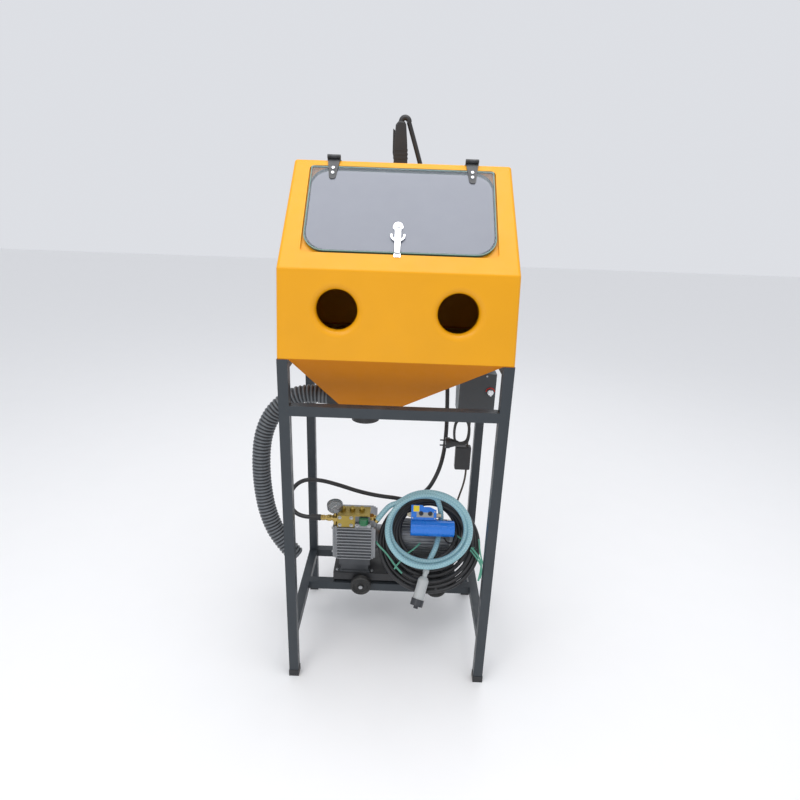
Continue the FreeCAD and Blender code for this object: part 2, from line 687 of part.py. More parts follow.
def wheel(x, y):
    """Moulded tyre with a dished web and a hub that runs on the axle."""
    w = WHEEL_WIDTH
    profile = [(AXLE_R + CLEAR, 0), (10, 0), (12, 4), (25, 5), (28, 1), (WHEEL_R - 4, 0), (WHEEL_R, 4),
               (WHEEL_R, w - 4), (WHEEL_R - 4, w), (28, w - 1), (25, w - 5), (12, w - 4), (10, w),
               (AXLE_R + CLEAR, w)]
    corners = [V(r, along, 0) for r, along in profile]
    face = Part.Face(Part.makePolygon(corners + [corners[0]]))
    turned = face.revolve(V(0, 0, 0), V(0, 1, 0), 360)
    turned.translate(V(x, y, AXLE_Z))
    return turned


def wheels():
    axles = []
    for side, x in zip(("left", "right"), AXLE_XS):
        save(f"wheel_front_{side}", wheel(x, FRONT_WHEEL_Y))
        save(f"wheel_rear_{side}", wheel(x, REAR_WHEEL_Y))
        front = FRONT_WHEEL_Y - 0.5
        rear = REAR_WHEEL_Y + WHEEL_WIDTH + 0.5
        shaft = rod((x, front - 4, AXLE_Z), (x, rear + 4, AXLE_Z), AXLE_R)
        nuts = [rod((x, y, AXLE_Z), (x, y + 3, AXLE_Z), 7) for y in (front - 3, rear)]
        collars = [rod((x, y, AXLE_Z), (x, y + 4, AXLE_Z), 6)
                   for y in (FRONT_WHEEL_Y + WHEEL_WIDTH + 0.5, REAR_WHEEL_Y - 4.5)]
        axles.append(fuse([shaft] + nuts + collars))
    save("axles", group(axles))


# ---- pump ---------------------------------------------------------------------


def crankcase():
    core = box((PUMP_X0, PUMP_Y0 + FIN_DEPTH, PUMP_Z0), (PUMP_X1, PUMP_Y1 - FIN_DEPTH, PUMP_Z1))
    fins = []
    for i in range(11):
        z = PUMP_Z0 + 2 + i * 12.5
        fins.append(box((PUMP_X0 + 8, PUMP_Y0, z), (PUMP_X1 - 8, PUMP_Y1, z + 3.5)))
    shoulder = box((-128, PUMP_Y0, PUMP_Z1), (-72, PORT_Y - 14.5, 449))
    bore = rod((PUMP_X1 - 30, MOTOR_Y, MOTOR_Z), (PUMP_X1 + 5, MOTOR_Y, MOTOR_Z), 12)
    case = fuse([core, shoulder] + fins)
    plates = [case.cut(bore)]
    for x in (PUMP_X0 - 7, PUMP_X1):
        plate = box((x, PUMP_Y0 + 2, PUMP_Z0 + 1), (x + 7, PUMP_Y1 - 2, PUMP_Z1 - 2))
        along_x = [e for e in plate.Edges if abs(e.tangentAt(e.FirstParameter).x) > 0.9]
        plate = plate.makeFillet(14, along_x)
        plates.append(plate.cut(rod((x - 1, MOTOR_Y, MOTOR_Z), (x + 8, MOTOR_Y, MOTOR_Z), 12)))
    save("pump_crankcase", group(plates))
    cap = rod((-97, 242.5, 449), (-97, 242.5, 470), 16)
    save("oil_cap", cap.common(box((-120, 220, 440), (-70, PORT_Y - 15, 480))))


def pump_foot():
    lower = box((-186, 256, DECK_TOP), (-74, 392, DECK_TOP + 6))
    upper = box((-180, 262, DECK_TOP + 6), (-80, 386, PUMP_Z0))
    flange = box((-186, 254, 268), (-74, 262, PUMP_Z0))
    feet = [fuse([lower, upper, flange])]
    for x in (44, 176):
        foot = box((x, MOTOR_Y - 58, DECK_TOP), (x + 26, MOTOR_Y + 58, DECK_TOP + 44))
        feet.append(foot.cut(rod((x - 1, MOTOR_Y, MOTOR_Z), (x + 27, MOTOR_Y, MOTOR_Z), MOTOR_R + 0.2)))
    save("mounting_feet", group(feet))
    bolts = []
    for x in (-193, -67):
        for y in (266, 382):
            bolts.append(pan_head(x, y, DECK_TOP, 6, 4, 3, 6))
    for x in (57, 189):
        for y in (MOTOR_Y - 66, MOTOR_Y + 66):
            bolts.append(pan_head(x, y, DECK_TOP, 6, 4, 3, 6))
    save("trolley_bolts", group(bolts))


def hex_bar(x0, x1, y, z, across):
    """Hexagonal nut lying along X."""
    r = across / math.sqrt(3)
    corners = [(x0, y + r * math.sin(math.radians(a)), z + r * math.cos(math.radians(a)))
               for a in range(0, 360, 60)]
    return prism(corners, (x1 - x0, 0, 0))


def pump_head():
    manifold = box((-191, PORT_Y - 14, PUMP_Z1), (-76, 310, HEAD_TOP))
    nose = box((-191, 244, PUMP_Z1), (-132, PORT_Y - 14, HEAD_TOP))
    block = fuse([manifold, nose])
    parts = [block.makeFillet(1.5, [e for e in block.Edges if e.BoundBox.ZMin > HEAD_TOP - 1])]
    for x in (-174, -140, -106):
        head = Part.makeCylinder(10, 9, V(x, 285, HEAD_TOP))
        parts.append(head.fuse(Part.makeCone(10, 7, 4, V(x, 285, HEAD_TOP + 9))))
    save("pump_head", group(parts))

    outlet = [hex_bar(-207, -191, PORT_Y, PORT_Z, 24), rod((-232, PORT_Y, PORT_Z), (-207, PORT_Y, PORT_Z), 9.5),
              hex_bar(-226, -214, PORT_Y, PORT_Z, 22), rod((-250, PORT_Y, PORT_Z), (-232, PORT_Y, PORT_Z), 8),
              hex_bar(-248, -236, PORT_Y, PORT_Z, 19)]
    outlet.append(rod((-199, PORT_Y, PORT_Z + 5), (-199, PORT_Y, PORT_Z + 22), 6))
    outlet.append(rod((-199, PORT_Y, PORT_Z - 24), (-199, PORT_Y, PORT_Z - 5), 7))
    rings = [rod((-285, PORT_Y, PORT_Z), (-250, PORT_Y, PORT_Z), 10.5)]
    for i in range(4):
        rings.append(rod((-280 + i * 8, PORT_Y, PORT_Z), (-277 + i * 8, PORT_Y, PORT_Z), 11.2))
    bend = Part.makeTorus(12, 8.5, V(0.5, GUN_Y, GRIP_TOP), V(0, 1, 0))
    bend = bend.common(box((-40, GUN_Y - 20, GRIP_TOP), (40, GUN_Y + 20, GRIP_TOP + 40)))
    save("hose_ends", group([fuse(rings), bend]))
    inlet = [hex_bar(-76, -64, 276, PORT_Z, 24)]
    start = lean_point(*SUCTION_LEAD_LEAN[0])
    along = lean_point(*SUCTION_LEAD_LEAN[1]) - start
    along.normalize()
    elbow_end = start - along * 4
    inlet.append(rod((-64, 276, PORT_Z), (-58, 276, PORT_Z), 8))
    inlet.append(rod((-64, 276, PORT_Z), tuple(elbow_end), 7))
    inlet.append(Part.makeSphere(9, V(-62, 274.5, PORT_Z)))
    inlet.append(rod(tuple(start - along * 9), tuple(start), 8.5))
    save("hose_fittings", group([fuse(outlet), fuse(inlet)]))


# ---- pressure gauge -----------------------------------------------------------


def tilted(shape):
    """Lean a shape drawn on the gauge's upright axis towards the operator."""
    leaned = shape.copy()
    leaned.rotate(V(0, 0, 0), V(1, 0, 0), GAUGE_TILT)
    leaned.translate(GAUGE)
    return leaned


def gauge():
    cup = [(0, 4), (7, 4), (7, 10), (16, 14), (GAUGE_R - 3, 20), (GAUGE_R, 26), (GAUGE_R, 40),
           (GAUGE_R - 2, 41), (GAUGE_R - 2, 26), (0, 26)]
    corners = [V(r, 0, z) for r, z in cup]
    case = Part.Face(Part.makePolygon(corners + [corners[0]])).revolve(V(0, 0, 0), V(0, 0, 1), 360)
    stem = Part.makeCylinder(6, 14, V(0, 0, -2))
    pivot = Part.makeCylinder(1.2, 8, V(0, 0, 26))
    port = rod((-199, PORT_Y, 440), (-199, PORT_Y, GAUGE.z), 7)
    save("gauge_case", tilted(fuse([case, stem, pivot])).cut(port))
    hub = Part.makeCylinder(3, 1.2, V(0, 0, 29))
    pointer = prism([(-1, -7, 29), (1, -7, 29), (0.4, 19, 29), (-0.4, 19, 29)], (0, 0, 1.2))
    needle = hub.fuse(pointer).cut(Part.makeCylinder(1.25, 5, V(0, 0, 27)))
    needle.rotate(V(0, 0, 0), V(0, 0, 1), 135)
    save("gauge_needle", tilted(needle))
    save("gauge_glass", tilted(Part.makeCylinder(GAUGE_R - 2.2, 2.0, V(0, 0, 37))))


# ---- motor --------------------------------------------------------------------


def motor():
    axis = (MOTOR_Y, MOTOR_Z)
    core = rod((MOTOR_X0, *axis), (FAN_COVER_X, *axis), MOTOR_R - 7)
    fins = []
    for i in range(36):
        fin = box((MOTOR_X0 + 8, -1.3, 50), (FAN_COVER_X - 4, 1.3, MOTOR_R))
        fin.rotate(V(0, 0, 0), V(1, 0, 0), i * 10)
        fin.translate(V(0, *axis))
        fins.append(fin)
    flange = rod((MOTOR_X0, *axis), (MOTOR_X0 + 8, *axis), MOTOR_R)
    bore = rod((MOTOR_X0 - 1, *axis), (FAN_COVER_X + 1, *axis), SHAFT_R + 4)
    body = fuse([core, flange] + fins).cut(bore)
    bell = rod((PUMP_X1 + 7, *axis), (MOTOR_X0, *axis), 44)
    hollow = rod((PUMP_X1 + 6, *axis), (MOTOR_X0 + 1, *axis), 38)
    save("motor_body", group([body, bell.cut(hollow)]))

    cover = rod((FAN_COVER_X, *axis), (MOTOR_X1, *axis), MOTOR_R)
    rim = [e for e in cover.Edges if e.BoundBox.XMin > MOTOR_X1 - 0.1]
    cover = cover.makeFillet(9, rim)
    cover = cover.cut(rod((FAN_COVER_X - 1, *axis), (MOTOR_X1 - 2.5, *axis), MOTOR_R - 2.5))
    slots = []
    for i in range(-4, 5):
        reach = math.sqrt((MOTOR_R - 14) ** 2 - (i * 11) ** 2)
        slots.append(box((MOTOR_X1 - 5, MOTOR_Y - reach, MOTOR_Z + i * 11 - 2.5),
                         (MOTOR_X1 + 1, MOTOR_Y + reach, MOTOR_Z + i * 11 + 2.5)))
    save("fan_cover", cover.cut(group(slots)))

    shaft = rod((PUMP_X1 - 20, *axis), (238, *axis), SHAFT_R)
    hub = rod((221, *axis), (236, *axis), 20)
    blades = []
    for i in range(8):
        blade = box((222, -1.2, 16), (235, 1.2, 58))
        blade.rotate(V(0, 0, 0), V(1, 0, 0), i * 45)
        blade.translate(V(0, *axis))
        blades.append(blade)
    save("motor_rotor", fuse([shaft, hub] + blades))


# ---- terminal box and capacitor -----------------------------------------------


def terminal_box():
    neck = box((88, 78, 40), (140, 106, HEAD_N0))
    neck = on_lean(neck).cut(rod((0, MOTOR_Y, MOTOR_Z), (250, MOTOR_Y, MOTOR_Z), MOTOR_R))
    outline = [(HEAD_X0, HEAD_S0, HEAD_N0), (HEAD_X1, HEAD_S0, HEAD_N0), (HEAD_X1, HEAD_S1 - 16, HEAD_N0),
               (HEAD_X1 - 22, HEAD_S1 - 6, HEAD_N0), (HEAD_X1 - 44, HEAD_S1 - 6, HEAD_N0),
               (HEAD_X1 - 50, HEAD_S1, HEAD_N0), (HEAD_X0, HEAD_S1, HEAD_N0)]
    head = prism(outline, (0, 0, HEAD_N1 - HEAD_N0))
    wells = [Part.makeCylinder(BUTTON_R + 0.3, 14, V(x, BUTTON_S, HEAD_N1 - 9)) for x, _ in BUTTONS]
    box_body = fuse([neck, on_lean(head.cut(group(wells)))])
    save("terminal_box", group([box_body, capacitor_cradle()]))
    for x, name in BUTTONS:
        button = Part.makeCylinder(BUTTON_R, 8, V(x, BUTTON_S, HEAD_N1 - 4))
        save(name, on_lean(button.makeFillet(1, [e for e in button.Edges if e.BoundBox.ZMin > HEAD_N1 + 3])))


def cable_glands():
    glands = []
    for x, y in GLANDS:
        nut = rod((x, y, BOX_Z0 - GLAND_DROP), (x, y, BOX_Z0), 9)
        glands.append(fuse([nut, rod((x, y, BOX_Z0), (x, y, BOX_Z0 + 8), 6)]))
    x, y, z = MOTOR_GLAND
    elbow = fuse([rod((x, y, 380), (x, y, z - 10), 8), rod((x, y, z - 10), (x, y, z), 6)])
    glands.append(elbow.cut(rod((FAN_COVER_X - 1, MOTOR_Y, MOTOR_Z), (MOTOR_X1, MOTOR_Y, MOTOR_Z), MOTOR_R)))
    for x0, x1, x2 in ((HEAD_X1, HEAD_X1 + 10, HEAD_X1 + 18), (HEAD_X0, HEAD_X0 - 8, HEAD_X0 - 13)):
        nut = rod((x0, 86, 132), (x1, 86, 132), 8)
        glands.append(on_lean(fuse([nut, rod((x1, 86, 132), (x2, 86, 132), 6)])))
    save("cable_glands", group(glands))


def capacitor():
    can = Part.makeCylinder(CAP_R, 154, V(68, CAP_S, CAP_N), V(1, 0, 0))
    rims = [e for e in can.Edges if abs(e.Length - 2 * math.pi * CAP_R) < 0.1]
    save("capacitor_can", on_lean(can.makeFillet(2.5, rims)))


def capacitor_cradle():
    """Bracket that holds the capacitor under the terminal box."""
    clip = box((96, 22, 108), (124, 62, 122))
    arm = box((100, 50, 100), (120, 78, HEAD_N0))
    cradle = fuse([clip, arm])
    cradle = cradle.cut(Part.makeCylinder(CAP_R, 154, V(68, CAP_S, CAP_N), V(1, 0, 0)))
    cradle = cradle.cut(box((80, HEAD_S0, HEAD_N0), (150, 90, 130)))
    cradle = cradle.cut(box((80, 78, 90), (150, 120, 130)))
    return on_lean(cradle)


# ---- hoses --------------------------------------------------------------------


def oval(x, half_x, half_s, s, n0, n1):
    curve = Part.Ellipse(V(x, s, n0), max(half_x, half_s), min(half_x, half_s)).toShape()
    return Part.Face(Part.Wire(curve)).extrude(V(0, 0, n1 - n0))


def pressure_hose():
    save("pressure_lead", hose("pressure_lead", PRESSURE_LEAD, PRESSURE_HOSE_D))
    save("pressure_riser", hose("pressure_riser", PRESSURE_RISER, PRESSURE_HOSE_D))
    outer = oval(COIL_OUT_X, *COIL_OUT, COIL_N0, COIL_N1)
    inner = oval(COIL_X, *COIL_IN, COIL_N0 - 1, COIL_N1 + 1)
    save("pressure_coil", on_lean(outer.cut(inner)))


def suction_hose():
    lead = [tuple(lean_point(*p)) for p in SUCTION_LEAD_LEAN]
    save("suction_lead", hose("suction_lead", lead, SUCTION_HOSE_D))
    tail = [tuple(lean_point(*p)) for p in SUCTION_TAIL_LEAN]
    save("suction_tail", hose("suction_tail", tail, SUCTION_HOSE_D))
    centre = V(SUCTION_X, SUCTION_S, SUCTION_N0)
    outer = Part.makeCylinder(SUCTION_OUT, SUCTION_N1 - SUCTION_N0, centre)
    inner = Part.makeCylinder(SUCTION_IN, 60, centre - V(0, 0, 5))
    save("suction_coil", on_lean(outer.cut(inner)))


def capacitor_lead():
    route = [tuple(lean_point(*p)) for p in LEAD_LEAN]
    save("capacitor_lead", hose("capacitor_lead", route, CAPACITOR_LEAD_D))


def strainer():
    top = lean_point(*SUCTION_TAIL_LEAN[-1])
    along = lean_point(*STRAINER_END_LEAN) - top
    along.normalize()

    def at(distance):
        return tuple(top + along * distance)

    fitting = fuse([rod(at(0), at(12), 11), rod(at(12), at(26), 8.5)])
    body = fuse([cone(at(26), at(36), 13, 19), rod(at(36), at(102), 19)])
    save("strainer_body", body)
    save("strainer_caps", group([fitting, fuse([rod(at(102), at(125), 22), rod(at(125), at(134), 8)])]))


# ---- spray gun ----------------------------------------------------------------


def gun():
    half = 15.0
    grip = [(-29, GUN_Y - half, GRIP_TOP - 10), (-21, GUN_Y - half, GRIP_TOP), (-1, GUN_Y - half, GRIP_TOP),
            (4, GUN_Y - half, GRIP_TOP - 9), (9.5, GUN_Y - half, 1690), (13, GUN_Y - half, 1600),
            (17, GUN_Y - half, 1590), (17, GUN_Y - half, 1556), (-52, GUN_Y - half, 1556),
            (-60, GUN_Y - half, 1566), (-60, GUN_Y - half, 1592), (-38, GUN_Y - half, 1600),
            (-33, GUN_Y - half, 1640), (-33, GUN_Y - half, 1690)]
    body = prism(grip, (0, 2 * half, 0))
    body = body.makeFillet(4.5, [e for e in body.Edges if abs(e.tangentAt(e.FirstParameter).y) < 0.1])
    pocket = box((-44, GUN_Y - 6, 1607), (-16, GUN_Y + 6, 1742))
    pivot = rod((-24, GUN_Y - 20, 1612), (-24, GUN_Y + 20, 1612), 3)
    save("gun_body", body.cut(pocket).fuse(pivot))

    lever = [(-28, GUN_Y - 5, 1609), (-21.5, GUN_Y - 5, 1609), (-21.5, GUN_Y - 5, 1640),
             (-30, GUN_Y - 5, 1668), (-31, GUN_Y - 5, 1732), (-37, GUN_Y - 5, 1736), (-37, GUN_Y - 5, 1666),
             (-31, GUN_Y - 5, 1640)]
    trigger = prism(lever, (0, 10, 0)).cut(rod((-24, GUN_Y - 9, 1612), (-24, GUN_Y + 9, 1612), 3 + CLEAR))
    save("gun_trigger", trigger)

    barrel = fuse([rod((-60, GUN_Y, BARREL_Z), (-86, GUN_Y, BARREL_Z), 13),
                   rod((-86, GUN_Y, BARREL_Z), (-190, GUN_Y, BARREL_Z), 7)])
    tip = fuse([hex_bar(-206, -190, GUN_Y, BARREL_Z, 20),
                cone((-206, GUN_Y, BARREL_Z), (-222, GUN_Y, BARREL_Z), 8, 5)])
    save("gun_lance", group([barrel, tip]))
    holders = []
    for x in (-170.0, -120.0):
        lip_y = STAND_DEPTH + REAR_OVERHANG
        plate = box((x, STAND_DEPTH, BARREL_Z - 22), (x + 16, STAND_DEPTH + 3, BARREL_Z + 40))
        shelf = box((x, STAND_DEPTH, BARREL_Z - 10), (x + 16, lip_y, BARREL_Z - 7))
        lip = box((x, lip_y - 3, BARREL_Z - 10), (x + 16, lip_y, BARREL_Z + 14))
        holders.append(fuse([plate, shelf, lip]))
    save("gun_holders", group(holders))


def main():
    os.makedirs("parts", exist_ok=True)
    for build in (stand, foot_caps, cabinet_shell, work_grate, window_seal, lid_glass, hinges, latch, hopper,
                  drain_hose, control_box, mains_hank, plug_and_adapter, cable_glands, trolley_base, wheels,
                  crankcase, pump_foot, pump_head, gauge, motor, terminal_box, capacitor, pressure_hose,
                  suction_hose, capacitor_lead, strainer, gun):
        build()


main()
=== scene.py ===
"""Looks of a wet-blast cabinet: its finishes, hoses, cords, labels and small fittings."""
import math

import bpy
from bpy.props import FloatProperty, FloatVectorProperty, IntProperty, PointerProperty
from mathutils import Matrix, Quaternion, Vector


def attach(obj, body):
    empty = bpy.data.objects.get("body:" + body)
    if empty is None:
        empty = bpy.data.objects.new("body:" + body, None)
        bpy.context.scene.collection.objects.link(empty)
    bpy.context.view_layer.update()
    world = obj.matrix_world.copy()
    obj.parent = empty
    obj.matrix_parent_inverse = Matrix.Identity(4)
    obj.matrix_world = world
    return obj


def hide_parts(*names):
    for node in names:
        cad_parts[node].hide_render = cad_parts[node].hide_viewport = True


bl_info = {
    "name": "Blast Cabinet",
    "version": (1, 0, 0),
    "blender": (4, 5, 0),
    "location": "View3D > Sidebar > Cabinet",
    "description": "Builds the hoses, labels, small fittings and finishes of a wet-blast cabinet",
    "category": "Add Mesh",
}

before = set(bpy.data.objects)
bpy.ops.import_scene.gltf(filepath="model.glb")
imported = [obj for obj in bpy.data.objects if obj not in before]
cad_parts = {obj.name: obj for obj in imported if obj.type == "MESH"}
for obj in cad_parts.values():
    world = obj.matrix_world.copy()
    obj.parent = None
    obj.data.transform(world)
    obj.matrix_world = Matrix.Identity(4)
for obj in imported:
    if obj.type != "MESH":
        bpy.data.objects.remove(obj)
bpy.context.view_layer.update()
MM = 0.001
CENTRE_Y = 261.75

# the two leaning planes: the cabinet's sloped front, and the hose coils
CREASE_Z = 1355.0
SLOPE_ANGLE = math.atan2(270.0, 255.0)
LEAN_ANGLE = math.radians(60)
MOTOR_Y = 350.0
MOTOR_Z = 330.0

# the film on the lid: half sizes, middle and corner on the slope, in metres
FILM_HALF = (0.2500, 0.1355)
FILM_MIDDLE = 0.1965
FILM_CORNER = 0.058
FILM_ALPHA = 0.9
MARGIN_ALPHA = 0.3

# the lid's cut edge, in metres
RIM_WIDTH = 0.5134
RIM_HEIGHT = 0.2914
RIM_WALL = 0.0033
RIM_CORNER = 0.0585
RIM_HEAD_CORNER = 0.005
RIM_THICK = 0.0052

# the terminal box's face on the leaning plane, and its two buttons, in metres
TERMINAL_FACE = 0.150
BUTTON_X = (0.104, 0.136)
BUTTON_S = 0.092

# where a material changes: across the pump's head, and up the strainer, in metres
HEAD_BORDER_X = -0.128
HEAD_TOP_Z = 0.474
STRAINER_BORDER_Z = 0.262

GAUGE_PLACE = (-199, 262, 479)
GAUGE_TILT = math.radians(15)
STRAP_THICK = 0.0009


def at(x, y, z):
    """A place given in millimetres from the front of the stand, in the frame's metres."""
    return Vector((x * MM, (y - CENTRE_Y) * MM, z * MM))


def plane_matrix(origin, angle):
    """Local X along X, local Y up the leaning plane and local Z out of it."""
    return Matrix.Translation(origin) @ Matrix.Rotation(angle, 4, "X")


SLOPE = plane_matrix(at(0, 0, CREASE_Z), SLOPE_ANGLE)
LEAN = plane_matrix(at(0, MOTOR_Y, MOTOR_Z), LEAN_ANGLE)


def on_lean(x, s, n):
    return LEAN @ Vector((x * MM, s * MM, n * MM))


# ---- sizes and colours a user would change ------------------------------------
def colour(label, note, value):
    return FloatVectorProperty(name=label, description=note, default=value, subtype="COLOR", size=3,
                               min=0.0, max=1.0)


def length(label, note, value):
    return FloatProperty(name=label, description=note, default=value, unit="LENGTH", min=0.0001)


class CabinetColours(bpy.types.PropertyGroup):
    shell: colour("Shell", "Moulded cabinet", (0.80, 0.355, 0.002))
    # painted shade: the hopper is the shell's own yellow moulding, darkened here for the shade under the
    # cabinet
    hopper: colour("Hopper", "Moulded hopper", (0.56, 0.185, 0.001))
    stand: colour("Stand", "Powder coat of the stand", (0.036, 0.044, 0.052))
    box_side: colour("Box side", "Side of the control box", (0.055, 0.085, 0.105))
    glass: colour("Glass", "Tint of the lid", (0.19, 0.205, 0.25))
    glass_edge: colour("Glass edge", "Cut edge of the lid", (0.05, 0.15, 0.12))
    motor: colour("Motor blue", "Terminal box and capacitor", (0.010, 0.19, 0.74))
    suction: colour("Suction hose", "Braided clear hose", (0.25, 0.48, 0.54))
    drain: colour("Drain hose", "Ribbed hose", (0.125, 0.138, 0.152))
    strap: colour("Strap", "Tie straps", (0.10, 0.36, 0.25))


class CabinetSizes(bpy.types.PropertyGroup):
    drain_hose: length("Drain hose", "Outer diameter", 0.060)
    pressure_hose: length("Pressure hose", "Outer diameter", 0.015)
    suction_hose: length("Suction hose", "Outer diameter", 0.019)
    mains_cord: length("Mains cord", "Outer diameter", 0.008)
    pump_cord: length("Pump cord", "Outer diameter", 0.007)
    capacitor_lead: length("Capacitor lead", "Outer diameter", 0.006)
    rib_pitch: length("Rib pitch", "Spacing of the drain hose's ribs", 0.0118)
    coil_turns: IntProperty(name="Coil turns", description="Turns of the pressure hose", default=7, min=1)


def colours():
    return bpy.context.scene.cabinet_colours


def sizes():
    return bpy.context.scene.cabinet_sizes


# ---- shader groups ------------------------------------------------------------
def link(tree, pairs):
    for out, into in pairs:
        tree.links.new(out, into)


def fill(tree, value, socket):
    """Feed an input from a socket, or set it to a plain value."""
    if isinstance(value, bpy.types.NodeSocket):
        tree.links.new(value, socket)
    else:
        socket.default_value = value


def new_group(name, inputs, outputs):
    group = bpy.data.node_groups.new(name, "ShaderNodeTree")
    for label, kind, value in inputs:
        socket = group.interface.new_socket(label, in_out="INPUT", socket_type=kind)
        socket.default_value = value
    for label, kind in outputs:
        group.interface.new_socket(label, in_out="OUTPUT", socket_type=kind)
    return group, group.nodes.new("NodeGroupInput"), group.nodes.new("NodeGroupOutput")


def noise(tree, coordinates, scale, detail=3.0):
    node = tree.nodes.new("ShaderNodeTexNoise")
    node.inputs["Scale"].default_value = scale
    node.inputs["Detail"].default_value = detail
    tree.links.new(coordinates, node.inputs["Vector"])
    return node


def maths(tree, operation, *values):
    """Math node whose inputs may be sockets or plain numbers."""
    node = tree.nodes.new("ShaderNodeMath")
    node.operation = operation
    for value, socket in zip(values, node.inputs):
        fill(tree, value, socket)
    return node.outputs[0]


def remap(tree, value, low, high, to_low, to_high):
    node = tree.nodes.new("ShaderNodeMapRange")
    for label, number in (("From Min", low), ("From Max", high), ("To Min", to_low), ("To Max", to_high)):
        node.inputs[label].default_value = number
    tree.links.new(value, node.inputs["Value"])
    return node.outputs["Result"]


def mix_colour(tree, factor, first, second):
    """Colour mix whose ends may be sockets or plain colours."""
    node = tree.nodes.new("ShaderNodeMix")
    node.data_type = "RGBA"
    for value, socket in ((factor, node.inputs[0]), (first, node.inputs[6]), (second, node.inputs[7])):
        fill(tree, value, socket)
    return node.outputs[2]


def axis_value(tree, axis, source="Object", place=None):
    """One coordinate of the object or UV map, or on a plane that the given matrix lays flat."""
    split = tree.nodes.new("ShaderNodeSeparateXYZ")
    out = tree.nodes.new("ShaderNodeTexCoord").outputs[source]
    if place:
        turned_back = place.inverted()
        mapping = tree.nodes.new("ShaderNodeMapping")
        mapping.inputs["Location"].default_value = turned_back.to_translation()
        mapping.inputs["Rotation"].default_value = turned_back.to_euler()
        link(tree, [(out, mapping.inputs["Vector"])])
        out = mapping.outputs["Vector"]
    link(tree, [(out, split.inputs[0])])
    return split.outputs[axis]


def build_grain():
    """Moulded, cast or painted grain: colour drift, uneven gloss and a fine bump."""
    group, given, result = new_group(
        "surface grain",
        [("Colour", "NodeSocketColor", (0.5, 0.5, 0.5, 1)), ("Drift", "NodeSocketFloat", 0.1),
         ("Roughness", "NodeSocketFloat", 0.4), ("Grain Scale", "NodeSocketFloat", 900.0),
         ("Grain Depth", "NodeSocketFloat", 0.1)],
        [("Colour", "NodeSocketColor"), ("Roughness", "NodeSocketFloat"), ("Normal", "NodeSocketVector")])
    place = group.nodes.new("ShaderNodeTexCoord").outputs["Object"]
    broad = noise(group, place, 7.0, 4.0)
    smears = noise(group, place, 38.0, 5.0)
    fine = noise(group, place, 900.0, 2.0)
    link(group, [(given.outputs["Grain Scale"], fine.inputs["Scale"])])
    shade = maths(group, "MULTIPLY", remap(group, broad.outputs["Fac"], 0.3, 0.7, 0.0, 1.0),
                  given.outputs["Drift"])
    darker = group.nodes.new("ShaderNodeHueSaturation")
    darker.inputs["Value"].default_value = 0.62
    link(group, [(given.outputs["Colour"], darker.inputs["Color"])])
    tinted = mix_colour(group, shade, given.outputs["Colour"], darker.outputs["Color"])
    gloss = maths(group, "ADD", given.outputs["Roughness"],
                  remap(group, smears.outputs["Fac"], 0.3, 0.75, -0.07, 0.10))
    bump = group.nodes.new("ShaderNodeBump")
    bump.inputs["Distance"].default_value = 0.0006
    link(group, [(given.outputs["Grain Depth"], bump.inputs["Strength"]),
                 (fine.outputs["Fac"], bump.inputs["Height"]),
                 (tinted, result.inputs["Colour"]), (gloss, result.inputs["Roughness"]),
                 (bump.outputs["Normal"], result.inputs["Normal"])])
    return group


def build_dust():
    """Pale dust that settles on what faces up, thicker in patches."""
    group, given, result = new_group(
        "settled dust",
        [("Colour", "NodeSocketColor", (0.5, 0.5, 0.5, 1)), ("Amount", "NodeSocketFloat", 0.15)],
        [("Colour", "NodeSocketColor")])
    place = group.nodes.new("ShaderNodeTexCoord").outputs["Object"]
    patches = remap(group, noise(group, place, 22.0, 6.0).outputs["Fac"], 0.35, 0.7, 0.0, 1.0)
    facing = group.nodes.new("ShaderNodeSeparateXYZ")
    link(group, [(group.nodes.new("ShaderNodeNewGeometry").outputs["Normal"], facing.inputs[0])])
    upward = remap(group, facing.outputs["Z"], 0.2, 1.0, 0.15, 1.0)
    mask = maths(group, "MULTIPLY", maths(group, "MULTIPLY", upward, patches), given.outputs["Amount"])
    dusted = mix_colour(group, mask, given.outputs["Colour"], (0.55, 0.54, 0.50, 1.0))
    link(group, [(dusted, result.inputs["Colour"])])
    return group


def build_braid():
    """Two crossing spirals of yarn along a hose's own UV map."""
    group, given, result = new_group(
        "hose braid",
        [("Pitch", "NodeSocketFloat", 120.0), ("Around", "NodeSocketFloat", 6.0)],
        [("Mask", "NodeSocketFloat")])
    waves = []
    for sign in (1.0, -1.0):
        around = maths(group, "MULTIPLY", axis_value(group, "X", "UV"), given.outputs["Around"])
        turn = maths(group, "MULTIPLY", around, sign)
        along = maths(group, "MULTIPLY_ADD", axis_value(group, "Y", "UV"), given.outputs["Pitch"], turn)
        waves.append(remap(group, maths(group, "PINGPONG", along, 0.5), 0.36, 0.48, 0.0, 1.0))
    link(group, [(maths(group, "MAXIMUM", *waves), result.inputs["Mask"])])
    return group


SHADER_GROUPS = {}


def shader_group(name):
    if not SHADER_GROUPS:
        SHADER_GROUPS["grain"] = build_grain()
        SHADER_GROUPS["dust"] = build_dust()
        SHADER_GROUPS["braid"] = build_braid()
    return SHADER_GROUPS[name]


def add_group(tree, name, **values):
    node = tree.nodes.new("ShaderNodeGroup")
    node.node_tree = shader_group(name)
    for label, value in values.items():
        node.inputs[label.replace("_", " ").title()].default_value = value
    return node


